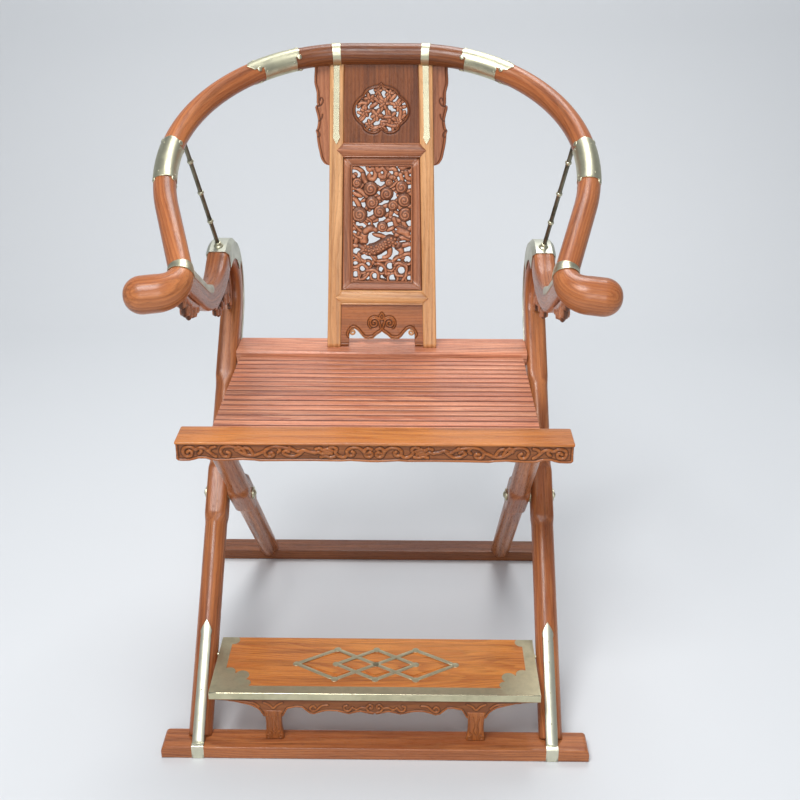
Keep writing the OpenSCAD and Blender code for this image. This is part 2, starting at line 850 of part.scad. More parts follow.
// Lobed opening with a pointed top.
module medallion(g = 0) {
    r = medallion_lobe - g;
    translate([0, medallion_z]) scale(medallion_share) {
        for (i = [-1, 1]) {
            translate([i * 15, 18]) circle(r);
            translate([i * 23, -3]) circle(r);
            translate([i * 14, -20]) circle(r);
        }
        square([16, 40], center = true);
        polygon([[-16, 34], [-6, 40 - g], [0, 49 - 2 * g], [6, 40 - g], [16, 34]]);
    }
}

// Leaves, fruit and stems that cross the medallion.
module medallion_work() {
    translate([0, medallion_z]) scale(medallion_share) {
        for (p = [[-30, -6, 7], [-9, -12, 8.5], [17, -16, 9.5], [31, 4, 6], [-22, 18, 6.5],
            [4, 8, 7], [15, 26, 5], [-5, 30, 5.5], [30, -20, 5.5], [-26, -26, 6]])
            translate([p[0], p[1]]) circle(p[2]);
        stroke([[-46, -8], [-30, -6], [-9, -12], [17, -16], [46, -12]], 4);
        stroke([[-40, 22], [-22, 18], [4, 8], [31, 4], [46, 6]], 4);
        stroke([[-26, -40], [-26, -26], [-9, -12], [4, 8], [-5, 30], [-12, 42]], 4);
        stroke([[20, -42], [17, -16], [4, 8], [15, 26], [18, 42]], 4);
        stroke([[-34, 34], [-22, 18], [-30, -6], [-40, -22]], 3.5);
        stroke([[40, -30], [30, -20], [31, 4], [36, 28]], 3.5);
    }
}

module splat_top_panel() {
    t = panel_thick / 2;
    color(wood) difference() {
        on_splat(-t, t) difference() {
            between(top_z, splat_head_z + 6, brass_fit);
            medallion();
        }
        crest_space(-stile_top_in, stile_top_in, fit);
        // Groove round the medallion.
        on_splat(-t - 1, -t + 0.8) difference() {
            medallion(-3.6);
            medallion(-2);
        }
    }
}

// Puts a flat front outline on the splat's tangent plane at a height, y thick from a to b.
module on_tangent(z, a, b) {
    lean = asin((z - bow_z) / bow_radius);
    translate([0, bow_y + bow_radius * cos(lean), z]) rotate([-lean, 0, 0])
        translate([0, b, 0]) rotate([90, 0, 0]) linear_extrude(b - a) translate([0, -z])
            children();
}

module splat_medallion() {
    t = panel_thick / 2;
    color(wood) on_tangent(medallion_z, -t + 1, t - 1.5) intersection() {
        medallion_work();
        medallion(brass_fit);
    }
}

// Cloud stems, loops and the beast's limbs, in the carved panel's own middle frame.
module carved_stems() {
    stroke([[-56, 96], [-40, 92], [-34, 82], [-56, 78]], 5);
    stroke([[-22, 108], [-24, 92], [-17, 98], [-11, 92], [-12, 76]], 5);
    stroke([[-20, 66], [-17, 78], [-12, 76]], 5);
    stroke([[0, 90], [2, 98], [10, 100], [14, 92], [22, 82], [34, 84], [48, 88], [58, 94]], 5);
    stroke([[0, 90], [-4, 80], [8, 74], [22, 82]], 5);
    stroke([[36, 106], [34, 96], [46, 98], [56, 106]], 5);
    stroke([[34, 96], [34, 84], [36, 66]], 5);
    stroke([[-34, 82], [-36, 70], [-44, 70]], 5);
    stroke([[-56, 66], [-44, 70], [-36, 58], [-20, 66]], 5);
    stroke([[-56, 40], [-42, 48], [-36, 58]], 5);
    stroke([[-20, 66], [8, 58], [22, 62], [36, 66]], 6);
    stroke([[-18, 40], [2, 42], [14, 50], [26, 48], [44, 42]], 5);
    stroke([[-5, 26], [6, 30], [16, 20], [30, 14], [44, 18]], 5.5);
    stroke([[8, 58], [2, 42], [-5, 26]], 5);
    stroke([[-40, 18], [-26, 10], [-18, 24], [-5, 26]], 5);
    stroke([[-56, 2], [-46, -6], [-56, -18]], 5);
    stroke([[-40, 18], [-46, 4], [-46, -6], [-34, -14]], 5);
    stroke([[0, 0], [-10, 12], [-26, 2]], 5);
    stroke([[30, 6], [44, -12], [58, -16]], 10);
    stroke([[58, 12], [46, 8], [36, -4], [44, -12]], 5);
    stroke([[30, -22], [44, -32], [58, -34]], 8);
    stroke([[-56, -36], [-44, -50], [-30, -52]], 5);
    stroke([[-44, -50], [-56, -62]], 5);
}

// The beast: body, haunch, neck, head and legs.
module carved_beast() {
    stroke([[-30, -36], [-14, -38], [4, -30], [16, -26]], 22);
    stroke([[-32, -24], [-28, -10], [-34, 0], [-20, 2]], 10);
    stroke([[-24, -10], [-12, -14]], 7);
    stroke([[-34, -42], [-42, -56], [-30, -62]], 6);
    stroke([[-12, -44], [0, -50], [8, -40]], 5.5);
    stroke([[18, -32], [10, -52], [2, -58]], 6);
    stroke([[22, -30], [34, -48], [28, -60]], 6);
    stroke([[24, -24], [32, -30]], 8);
}

// Pierced rocks along the bottom.
module carved_rocks() {
    difference() {
        polygon([[-56, -106], [56, -106], [56, -44], [40, -48], [22, -56], [8, -68],
            [-12, -62], [-26, -66], [-40, -62], [-56, -70]]);
        for (p = [[-50, -92, 5.5], [-37, -82, 4.6], [-13, -95, 4.6], [15, -74, 6],
            [36, -84, 6.5], [21, -100, 7], [46, -63, 6.2], [-2, -82, 4.8], [-26, -76, 3.6],
            [-26, -97, 4], [50, -98, 4.4]])
            translate([p[0], p[1]]) circle(p[2]);
    }
}

// Spiral roundels: middle x, middle z, radius.
roundels = [[-20, 63, 11.5], [-18, 37, 10], [-5, 24, 9.5], [-40, 17, 12.5], [41, 41, 10.5],
    [43, 17, 10.5], [1, -4, 7.5], [35, 63, 9.5], [8, 54, 10]];

module splat_carved_frame() {
    t = panel_thick / 2;
    color(wood) on_splat(-t - 1, t) difference() {
        between(carved_z + brass_fit, upper_z - brass_fit, brass_fit);
        translate([0, carved_mid]) square([open_width, open_height], center = true);
    }
}

module splat_carving() {
    t = panel_thick / 2;
    w = open_width - 2 * brass_fit;
    h = open_height - 2 * brass_fit;
    color(wood) {
        on_tangent(carved_mid, -t + 2, t - 2) translate([0, carved_mid]) intersection() {
            square([w, h], center = true);
            union() {
                carved_stems();
                carved_rocks();
                for (p = roundels) translate([p[0], p[1]]) circle(p[2]);
            }
        }
        on_tangent(carved_mid, -t - 1, -t + 3) translate([0, carved_mid]) carved_beast();
        // Raised inner turn of each roundel.
        on_tangent(carved_mid, -t, -t + 3) translate([0, carved_mid]) for (p = roundels)
            translate([p[0], p[1]]) circle(p[2] * 0.5);
    }
}

module splat_foot_panel() {
    t = panel_thick / 2;
    z = seat_height;
    color(wood_light) difference() {
        on_splat(-t, t) difference() {
            between(z, z + foot_panel_height - brass_fit, brass_fit);
            translate([-46, z - 1]) square([92, 14]);
            for (i = [-1, 1]) {
                translate([i * 44, z + 17]) circle(14);
                translate([i * 58, z + 26]) circle(5);
                translate([i * 7, z + 12]) circle(11);
            }
            polygon([[-14, z + 15], [0, z + 30], [14, z + 15]]);
        }
        // Grooves of the two volutes above the cut-out.
        on_splat(-t - 1, -t + 1.4) for (i = [-1, 1]) translate([i * 15, z + 43]) {
            tube(12, 10.4);
            tube(7, 5.4);
        }
    }
}

// Wavy wing beside the stile, hanging from the crest.
module wing_outline() {
    z0 = wing_z;
    z1 = splat_head_z + 6;
    x0 = splat_half(z0) + brass_fit;
    x1 = splat_half(z1) + brass_fit;
    w = wing_width;
    difference() {
        union() {
            polygon([[x0, z0 + 20], [x0 + w - 6, z0 + 20], [x0 + w - 4, z0 + 44],
                [x0 + w, z0 + 56], [x0 + w - 3, z0 + 76], [x0 + w, z0 + 92], [x0 + w - 2, z0 + 118],
                [x0 + w, z1], [x1, z1]]);
            intersection() {
                translate([x0 + 3, z0 + 22]) circle(22);
                polygon([[x0, z0], [x0 + w, z0], [x0 + w, z0 + 40], [x0 - taper * 40, z0 + 40]]);
            }
        }
        for (h = [50, 96]) translate([x0 + w + 1, z0 + h]) rotate(45)
            square([7, 7], center = true);
    }
}

module splat_wings() {
    t = wing_thick / 2;
    color(wood) both() difference() {
        on_splat(-t, t) wing_outline();
        crest_space(splat_top_width / 2, splat_top_width / 2 + wing_width, brass_thick + 3 * brass_fit);
    }
}

// Brass strip down the front of each stile, ending in a spear.
module stile_strips() {
    t = stile_thick / 2;
    z0 = top_z + 10;
    z1 = splat_head_z + 6;
    w = stile_strip_width / 2;
    a = splat_half(z0) - stile_width / 2;
    b = splat_half(z1) - stile_width / 2;
    color(brass) both() difference() {
        on_splat(-t - brass_fit - brass_thick, -t - brass_fit) polygon([
            [a, z0 - 12], [a + w, z0], [a + w - 1.2, z0 + 10], [b + w - 1.2, z1],
            [b - w + 1.2, z1], [a - w + 1.2, z0 + 10], [a - w, z0]]);
        crest_space(stile_top_in, stile_top_in + stile_width, brass_thick + 3 * brass_fit);
    }
}

// Brace rods

rod_top = [shoulder_x + shoulder_radius * sin(rod_heading),
    crest_back - (shoulder_y - shoulder_radius * cos(rod_heading)) * cos(rail_slope),
    crest_height - (shoulder_y - shoulder_radius * cos(rod_heading)) * sin(rail_slope)];
neck_top = neck_radius + stem_depth / 2 + 2 * brass_fit + brass_thick;
rod_foot = [arm_x, bend_y + neck_top * cos(rod_foot_angle), bend_z + neck_top * sin(rod_foot_angle)];
rod_dir = rod_top - rod_foot;
rod_length = norm(rod_dir);

module along_rod() {
    translate(rod_foot) rotate([0, acos(rod_dir[2] / rod_length), atan2(rod_dir[1], rod_dir[0])])
        children();
}

module brace_rods() {
    color(iron) both() difference() {
        along_rod() translate([0, 0, 3.2]) cylinder(d = rod_dia, h = rod_length - 3.2);
        in_rail_plane() shoulder_arc(40, s_head) circle(rail_dia / 2 + brass_fit);
    }
}

module rod_collars() {
    color(brass) both() along_rod() {
        difference() {
            for (f = [0.25, 0.53, 0.82]) translate([0, 0, f * (rod_length - rail_dia / 2)])
                collar();
            cylinder(d = rod_dia + 2 * brass_fit, h = rod_length);
        }
    }
    // Flange on the brass of the bend.
    color(brass) both() difference() {
        intersection() {
            translate(rod_foot) sphere(d = rod_flange_dia);
            translate([arm_x, bend_y, bend_z]) rotate([0, 90, 0])
                cylinder(r = neck_top + 5, h = 2 * rod_flange_dia, center = true, $fn = 180);
        }
        translate([arm_x, bend_y, bend_z]) rotate([0, 90, 0])
            cylinder(r = neck_top, h = 3 * rod_flange_dia, center = true, $fn = 180);
        along_rod() translate([0, 0, 3]) cylinder(d = rod_dia + 2 * brass_fit, h = 20);
    }
}

module collar() {
    intersection() {
        sphere(d = rod_collar_dia + 2);
        cylinder(d = rod_collar_dia, h = 6, center = true);
    }
}

// Brass on the bend

// Open channel that lies on the outside of the bend, d deep down its sides.
module channel(d) {
    g = brass_fit;
    h = stem_depth / 2;
    difference() {
        branch_section(g + brass_thick);
        branch_section(g);
        translate([-h - d - 2, -arm_leg_dia]) square([2 * h + 2, 2 * arm_leg_dia]);
    }
}

module elbow_plates() {
    from = stem_square_from + 12;
    cover = neck_start_angle + 73.5;
    color(brass) both() translate([arm_x, 0, 0]) {
        at_bend(cover) rotate_extrude(angle = neck_end_angle - 6 - cover)
            translate([neck_radius, 0]) channel(stem_depth - 8);
        difference() {
            at_bend(neck_start_angle) {
                rotate_extrude(angle = cover - neck_start_angle) translate([neck_radius, 0])
                    channel(13);
                translate([neck_radius, 0, 0]) rotate([90, 0, 0])
                    linear_extrude(stem_bend_from - from) channel(13);
            }
            translate([0, rear_rail_y, rail_mid])
                cube([100, rear_rail_depth + 2 * fit, rail_thick + 2 * fit], center = true);
        }
    }
}

module branch_straps() {
    a = dip_end + 6;
    color(brass) both() difference() {
        intersection() {
            translate([arm_x, 0, 0]) branch(brass_fit + brass_thick);
            translate([arm_x, dip_y, dip_z]) rotate([90, 0, 90]) rotate(a)
                rotate_extrude(angle = 3.6) translate([dip_radius - 60, -60]) square([120, 120]);
        }
        translate([arm_x, 0, 0]) branch(brass_fit);
    }
}

// Carved bracket in the arch between the branch and the leg.
module neck_brackets() {
    r = neck_radius - stem_depth / 2 - brass_fit;
    color(wood) both() translate([arm_x, bend_y, bend_z]) side(9) difference() {
        union() {
            circle(r, $fn = 96);
            difference() {
                polygon([[-124, 8], [-124, 50], [-38, 66], [0, 0], [-75, -20], [-100, -6]]);
                rotate(neck_end_angle) translate([neck_radius + dip_radius, 0])
                    circle(dip_radius + stem_depth / 2 + brass_fit, $fn = 180);
            }
        }
        polygon([[-200, -200], [-200, 12], [-112, 12], [-96, -6], [-70, -18], [6, -22],
            [24, -38], [70, -50], [70, -200]]);
        for (p = [[-88, -8, 11], [-62, -22, 12], [-36, -26, 13], [-10, -30, 14], [12, -38, 10]])
            translate([p[0], p[1]]) circle(p[2]);
    }
}

// Carved bracket that hangs under the branch behind the end curl.
module curl_brackets() {
    color(wood) both() difference() {
        translate([arm_x, tip_y, tip_z]) rotate([90, 0, 90]) rotate(tip_angle)
            linear_extrude(14, center = true) curl_bracket_outline();
        rail_space(brass_thick + 3 * brass_fit);
    }
}

// Outline along the straight end of the branch, with a cusped lower edge.
module curl_bracket_outline() {
    difference() {
        translate([22, stem_depth / 2 + brass_fit]) square([150, 60]);
        polygon([[0, 44], [40, 34], [60, 52], [104, 62], [140, 54], [176, 38], [200, 30],
            [200, 200], [0, 200]]);
        for (p = [[34, 34, 9], [52, 48, 11], [76, 62, 12], [104, 66, 12], [130, 60, 11],
            [154, 50, 11], [172, 36, 9]])
            translate([p[0], p[1]]) circle(p[2]);
    }
}

module leg_strips() {
    r = arm_leg_dia / 2 + brass_fit;
    w = strip_width / 2;
    y0 = -base_depth / 2;
    color(brass) both() {
        intersection() {
            along_leg(arm_x, arm_angle) translate([0, 0, -arm_foot - 30])
                linear_extrude(leg_strip_length + 60) tube(r + brass_thick, r);
            along_leg(arm_x, arm_angle) rotate([90, 0, 0])
                linear_extrude(60) translate([0, -arm_foot]) polygon([[-w, -40], [w, -40],
                    [w - 1, leg_strip_length + 12], [w + 1, leg_strip_length + 20],
                    [0, leg_strip_length + 32], [-w - 1, leg_strip_length + 20],
                    [-w + 1, leg_strip_length + 12]]);
            translate([arm_x, 0, runner_height + 250]) cube([80, 1000, 500], center = true);
        }
        translate([arm_x - w, y0, 1]) cube([strip_width, brass_thick, runner_height - 1]);
        translate([arm_x - w, y0, runner_height - brass_thick])
            cube([strip_width, foot_strip, brass_thick]);
    }
}

// Footrest

// Brass border of the footrest with cloud-shaped corners, drawn in by g.
module footrest_frame_outline(g = 0) {
    l = board_length / 2;
    d = footrest_depth;
    b = footrest_border;
    difference() {
        translate([-l, 0]) square([2 * l, d]);
        translate([-l + b - g, b - g]) square([2 * (l - b + g), d]);
    }
    for (i = [-1, 1]) {
        intersection() {
            union() {
                for (p = [[32, 30, 21], [48, 45, 12], [25, 54, 11], [56, 26, 9], [20, 138, 11]])
                    translate([i * (l - p[0]), p[1]]) circle(p[2] - g);
            }
            translate([-l, 0]) square([2 * l, d]);
        }
    }
}

// Three linked lozenges.
module inlay_outline(g = 0) {
    w = 5.5 + 2 * g;
    m = footrest_depth / 2 + 3;
    for (x = [-62, 0, 62])
        stroke([[x - 66, m], [x, m + 30], [x + 66, m], [x, m - 30], [x - 66, m]], w);
}

module footrest_board() {
    z1 = footrest_height;
    z0 = z1 - footrest_thick;
    lay = brass_thick + brass_fit;
    color(wood_light) difference() {
        translate([-board_length / 2, board_front, z0])
            cube([board_length, footrest_depth, footrest_thick]);
        translate([0, board_front, z1 - lay]) linear_extrude(lay + 1)
            footrest_frame_outline(-brass_fit);
        translate([0, board_front, z1 - lay]) linear_extrude(lay + 1) inlay_outline(brass_fit);
        translate([-board_length / 2 - 1, board_front - 1, z0 - 1])
            cube([board_length + 2, 1 + lay, footrest_thick + 2]);
        for (i = [-1, 1]) translate([i * (board_length / 2 - 15), board_pin_y, board_mid_z])
            rotate([0, 90, 0]) cylinder(d = footrest_pin_dia, h = 40, center = true);
    }
}

module footrest_edging() {
    z1 = footrest_height;
    color(brass) {
        translate([0, board_front, z1 - brass_thick]) linear_extrude(brass_thick)
            footrest_frame_outline();
        translate([-board_length / 2, board_front, z1 - footrest_thick])
            cube([board_length, brass_thick, footrest_thick]);
    }
}

module footrest_inlay() {
    color(brass) translate([0, board_front, footrest_height - brass_thick])
        linear_extrude(brass_thick) inlay_outline();
}

// Pins that the footrest turns on, held in its ends.
module footrest_pins() {
    color(brass) both() translate([board_length / 2 - 34, board_pin_y, board_mid_z])
        rotate([0, 90, 0]) cylinder(d = footrest_pin_dia, h = 34 + footrest_fit + 16);
}

// Shaped skirt with two little feet that stand on the runner.
module footrest_skirt() {
    z1 = footrest_height - footrest_thick;
    l = board_length / 2 - 3;
    f = foot_spacing / 2;
    zf = runner_height + fit;
    y0 = board_front + 3;
    color(wood_light) difference() {
        front(y0, y0 + skirt_thick) {
            difference() {
                translate([-l, z1 - skirt_drop]) square([2 * l, skirt_drop]);
                for (i = [-1, 1]) {
                    translate([i * (l + 4), z1 - skirt_drop - 4]) circle(24);
                    translate([i * (l - 42), z1 - skirt_drop - 8]) circle(18);
                    translate([i * (f - 60), z1 - skirt_drop - 14]) circle(20);
                    translate([i * 45, z1 - skirt_drop - 22]) circle(28);
                }
            }
            for (i = [-1, 1]) {
                translate([i * f - foot_width * 0.4, zf]) square([foot_width * 0.8, z1 - zf]);
                translate([i * f - foot_width / 2, zf]) square([foot_width, 12]);
                translate([i * f - foot_width / 2, z1 - skirt_drop]) square([foot_width, 6]);
            }
        }
    }
}

front_runner();
arm_leg_left();
arm_leg_right();
rear_seat_rail();
crest_rail();
shoulder_rail_left();
shoulder_rail_right();
arm_rail_left();
arm_rail_right();
arm_curl_left();
arm_curl_right();
crest_sleeves();
shoulder_sleeves();
arm_rings();
crest_bands();
splat_stile_left();
splat_stile_right();
splat_mouldings();
splat_top_panel();
splat_medallion();
splat_carved_frame();
splat_carving();
splat_foot_panel();
splat_wings();
stile_strips();
brace_rods();
rod_collars();
elbow_plates();
branch_straps();
neck_brackets();
curl_brackets();
leg_strips();
pivot_pins();
footrest_board();
footrest_skirt();
footrest_edging();
footrest_inlay();
footrest_pins();
front_seat_rail();
cross_leg_left();
cross_leg_right();
rear_runner();
slat_01();
slat_02();
slat_03();
slat_04();
slat_05();
slat_06();
slat_07();
slat_08();
slat_09();
slat_10();
slat_11();
slat_12();
slat_13();
slat_14();
slat_15();
slat_16();
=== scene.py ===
"""Folding armchair with a horseshoe back: wood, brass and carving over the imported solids.

Lengths inside the classes are millimetres in the row frame, x to the side, the sitter facing -y
and z up. They become metres when a mesh is made.
"""

import logging
import math
from dataclasses import dataclass, field
from enum import Enum
from typing import Any, Callable, Optional, Sequence, Union

import bpy
import numpy as np
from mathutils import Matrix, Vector


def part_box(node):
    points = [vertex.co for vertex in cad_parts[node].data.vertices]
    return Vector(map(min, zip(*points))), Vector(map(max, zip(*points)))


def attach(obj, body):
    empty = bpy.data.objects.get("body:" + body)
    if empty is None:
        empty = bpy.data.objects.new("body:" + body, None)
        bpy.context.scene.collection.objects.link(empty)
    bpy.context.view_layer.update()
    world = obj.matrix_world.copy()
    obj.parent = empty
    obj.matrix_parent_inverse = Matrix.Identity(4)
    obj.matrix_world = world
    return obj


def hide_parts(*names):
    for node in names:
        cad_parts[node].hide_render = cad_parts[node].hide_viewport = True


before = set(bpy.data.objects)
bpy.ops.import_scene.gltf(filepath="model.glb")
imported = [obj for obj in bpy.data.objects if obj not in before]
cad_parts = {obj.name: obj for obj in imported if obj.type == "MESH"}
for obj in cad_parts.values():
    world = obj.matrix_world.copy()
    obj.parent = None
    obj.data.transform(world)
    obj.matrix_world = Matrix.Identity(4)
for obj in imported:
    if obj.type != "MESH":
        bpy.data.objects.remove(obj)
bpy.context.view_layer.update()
LOG = logging.getLogger("armchair")
MM = 0.001
TAU = 2 * math.pi
X_AXIS, Y_AXIS, Z_AXIS = np.eye(3)
FLIP = np.array([-1.0, 1.0])

Points = Sequence[Sequence[float]]
Stroke = tuple[np.ndarray, float, float]
Boss = tuple[float, float, float, list[Stroke]]
Colour = tuple[float, float, float]
Feed = Union[bpy.types.NodeSocket, bpy.types.NodeTree, float, Sequence[float]]


class Body(str, Enum):
    """The rigid groups that pieces ride on."""

    ARM_FRAME = "arm_frame"
    CROSS_FRAME = "cross_frame"
    FOOTREST = "footrest"


class Slot(str, Enum):
    """Names of material slots."""

    RED_WOOD = "red_wood"
    LIGHT_WOOD = "light_wood"
    CARVED_WOOD = "carved_wood"
    PALE_BRASS = "pale_brass"
    DARK_ROD = "dark_rod"


class Grain(Enum):
    """Where a wood reads its grain from: the piece's own attribute, or the Object x axis."""

    ALONG = "along"
    X = "x"


# Arrays and meshes


def smoothstep(t: np.ndarray) -> np.ndarray:
    """Ease from 0 to 1: 3t^2 - 2t^3 with t held between 0 and 1."""
    t = np.clip(t, 0.0, 1.0)
    return t * t * (3 - 2 * t)


def turned(points: np.ndarray, degrees: float) -> np.ndarray:
    """Plane points turned about the origin, from the first axis towards the second.

    Args:
        points: The points, n by 2.
        degrees: The turn.

    Returns:
        The turned points.
    """
    a = math.radians(degrees)
    m = np.array([[math.cos(a), math.sin(a)], [-math.sin(a), math.cos(a)]])
    return np.asarray(points, float) @ m


def curve_through(points: Points, per_span: int = 8) -> np.ndarray:
    """Catmull-Rom curve through points of any dimension.

    Each span is 0.5 (2b + (c-a) t + (2a-5b+4c-d) t^2 + (3b-a-3c+d) t^3).

    Args:
        points: The points, in order.
        per_span: Samples on each span.

    Returns:
        An array of samples that starts and ends at the end points.
    """
    p = np.asarray(points, float)
    p = np.vstack([2 * p[0] - p[1], p, 2 * p[-1] - p[-2]])
    t = np.linspace(0, 1, per_span, endpoint=False)[None, :, None]
    a, b, c, d = (p[i : len(p) - 3 + i, None, :] for i in range(4))
    out = 0.5 * (2 * b + (c - a) * t + (2 * a - 5 * b + 4 * c - d) * t**2 + (3 * b - a - 3 * c + d) * t**3)
    return np.vstack([out.reshape(-1, p.shape[1]), p[-2]])


def spiral(x: float, z: float, r: float, turns: float = 1.6, start: float = 0.0,
           way: int = 1) -> np.ndarray:
    """Spiral from its rim to its eye: radius falls evenly from r to 0.15 r while the angle grows.

    Args:
        x, z: The eye.
        r: Radius of the rim.
        turns: Number of turns.
        start: Angle of the rim's end in degrees.
        way: 1 to turn from x towards z, -1 for the other way.

    Returns:
        The curve, n by 2.
    """
    t = np.linspace(0, 1, int(20 * turns) + 2)
    a = math.radians(start) + way * TAU * turns * t
    q = r * (1 - 0.85 * t)
    return np.stack([x + q * np.cos(a), z + q * np.sin(a)], 1)


def span(middle: Sequence[float], degrees: float, reach: float) -> np.ndarray:
    """A straight line of two points: reach to either side of its middle, leaning by degrees."""
    way = reach * np.array([math.cos(math.radians(degrees)), math.sin(math.radians(degrees))])
    return np.array([middle - way, middle + way])


def mirrored_too(strokes: Sequence[Stroke]) -> list[Stroke]:
    """Strokes of the right half followed by their mirror images."""
    return [*strokes, *((curve * FLIP, w, h) for curve, w, h in strokes)]


def widened(strokes: Sequence[Stroke], more: float) -> list[Stroke]:
    """The same strokes, wider by more on each side and of height 1: the halo round a relief."""
    return [(curve, w + more, 1.0) for curve, w, _ in strokes]


@dataclass
class Shell:
    """One or more closed surfaces as arrays, with grain coordinates and relief for each point; low relief
    is painted as shade.
    """

    points: np.ndarray
    quads: np.ndarray
    tris: np.ndarray
    along: np.ndarray
    relief: np.ndarray

    def mapped(self, place: Callable[[np.ndarray], np.ndarray]) -> "Shell":
        """The same faces with every point sent through place."""
        return Shell(place(self.points), self.quads, self.tris, self.along, self.relief).outward()

    def mirrored(self) -> "Shell":
        """The copy on the other side of x = 0."""
        p = self.points * np.array([-1.0, 1.0, 1.0])
        off = self.along + np.array([0.37, 0.013, 0.021])
        return Shell(p, self.quads[:, ::-1], self.tris[:, ::-1], off, self.relief)

    def outward(self) -> "Shell":
        """The shell with its faces turned out, by the sign of the volume they enclose."""
        q, p = self.quads, self.points - self.points.mean(0)
        t = np.vstack([q[:, [0, 1, 2]], q[:, [0, 2, 3]], self.tris])
        volume = np.einsum("ij,ij->i", p[t[:, 0]], np.cross(p[t[:, 1]], p[t[:, 2]])).sum()
        if volume < 0:
            return Shell(self.points, q[:, ::-1], self.tris[:, ::-1], self.along, self.relief)
        return self


def joined(shells: Sequence[Shell]) -> Shell:
    """Several shells as one."""
    shift = np.cumsum([0] + [len(s.points) for s in shells])
    return Shell(
        np.vstack([s.points for s in shells]),
        np.vstack([s.quads + o for s, o in zip(shells, shift)]),
        np.vstack([s.tris + o for s, o in zip(shells, shift)]),
        np.vstack([s.along for s in shells]),
        np.concatenate([s.relief for s in shells]),
    )


def both_sides(shells: Sequence[Shell]) -> Shell:
    """The shells and their mirror images as one."""
    one = joined(shells)
    return joined([one, one.mirrored()])


def skin(rings: np.ndarray, along: Optional[np.ndarray] = None, loop: bool = False) -> Shell:
    """Closes a row of rings into a shell, quads between rings and a fan on each end.

    Args:
        rings: Points, stations by ring by 3, in millimetres.
        along: Grain coordinates of the same shape; the points themselves if left out.
        loop: Joins the last ring to the first instead of closing the ends.

    Returns:
        The shell, facing outwards.
    """
    n, m = rings.shape[:2]
    along = rings if along is None else along
    i, j = np.meshgrid(np.arange(n if loop else n - 1), np.arange(m), indexing="ij")
    k = (i + 1) % n
    quads = np.stack([i * m + j, i * m + (j + 1) % m, k * m + (j + 1) % m, k * m + j], -1).reshape(-1, 4)
    points, grain = rings.reshape(-1, 3), along.reshape(-1, 3)
    tris = np.zeros((0, 3), int)
    if not loop:
        points = np.vstack([points, rings[0].mean(0), rings[-1].mean(0)])
        grain = np.vstack([grain, along[0].mean(0), along[-1].mean(0)])
        j = np.arange(m)
        first = np.stack([np.full(m, n * m), (j + 1) % m, j], 1)
        last = np.stack([np.full(m, n * m + 1), (n - 1) * m + j, (n - 1) * m + (j + 1) % m], 1)
        tris = np.vstack([first, last])
    return Shell(points, quads, tris, grain * MM, np.ones(len(points))).outward()


def oval(a: np.ndarray, b: np.ndarray, power: np.ndarray, m: int = 40) -> np.ndarray:
    """Superellipse rings |x/a|^n + |y/b|^n = 1; n = 2 is an ellipse and a large n a rounded square.

    Args:
        a, b, power: Half width, half depth and exponent of each station.
        m: Points on a ring.

    Returns:
        Stations by m by 2.
    """
    t = np.linspace(0, TAU, m, endpoint=False)
    c, s = np.cos(t), np.sin(t)
    a, b, power = (np.asarray(v, float).reshape(-1, 1) for v in np.broadcast_arrays(a, b, power))
    e = 2.0 / power
    return np.stack([a * np.sign(c) * np.abs(c) ** e, b * np.sign(s) * np.abs(s) ** e], -1)


def carried(path: np.ndarray, u: np.ndarray, v: np.ndarray, section: np.ndarray,
            loop: bool = False) -> Shell:
    """A profile carried along a path: each ring is path + x u + y v.

    Args:
        path: Stations by 3.
        u, v: Side vectors of each station, or one for all.
        section: Stations by ring by 2.
        loop: Joins the ends.

    Returns:
        The shell, whose grain runs along the path.
    """
    u, v = (np.broadcast_to(w, path.shape)[:, None, :] for w in (u, v))
    rings = path[:, None, :] + section[..., :1] * u + section[..., 1:] * v
    step = np.linalg.norm(np.diff(path, axis=0), axis=1)
    s = np.concatenate([[0], np.cumsum(step)])[:, None]
    along = np.stack([np.broadcast_to(s, section.shape[:2]), section[..., 0], section[..., 1]], -1)
    return skin(rings, along, loop)


def lathe(profile: Points, foot: np.ndarray, axis: np.ndarray, m: int = 32) -> Shell:
    """A turned shape: its profile swept round an axis.

    Args:
        profile: Pairs of distance along the axis and radius.
        foot: Where the distance is 0.
        axis: Direction of the axis, of any length.
        m: Points on a ring.

    Returns:
        The shell, whose grain runs along the axis.
    """
    p = np.asarray(profile, float)
    axis = np.asarray(axis, float) / np.linalg.norm(axis)
    side = np.cross(axis, Z_AXIS if abs(axis[2]) < 0.9 else X_AXIS)
    side /= np.linalg.norm(side)
    path = np.asarray(foot, float) + p[:, :1] * axis
    return carried(path, side, np.cross(axis, side), oval(p[:, 1], p[:, 1], 2.0, m))


def ball(centre: Sequence[float], radii: Sequence[float], lean: float = 0.0, n: int = 10) -> Shell:
    """Ellipsoid in flat carving coordinates (x, depth, z), its poles closed by fans.

    Args:
        centre: The middle.
        radii: Its three half sizes.
        lean: Turn in the x-z plane, in degrees.
        n: Rings; each has twice as many points.

    Returns:
        The shell.
    """
    t = np.linspace(0.02, math.pi - 0.02, n)[:, None]
    a = np.linspace(0, TAU, 2 * n, endpoint=False)[None, :]
    x, z = np.cos(t) * np.ones_like(a) * radii[0], np.sin(t) * np.sin(a) * radii[2]
    flat = turned(np.stack([x, z], -1).reshape(-1, 2), lean).reshape(n, 2 * n, 2)
    rings = np.stack([flat[..., 0], np.sin(t) * np.cos(a) * radii[1], flat[..., 1]], -1)
    return skin(rings + np.asarray(centre, float))


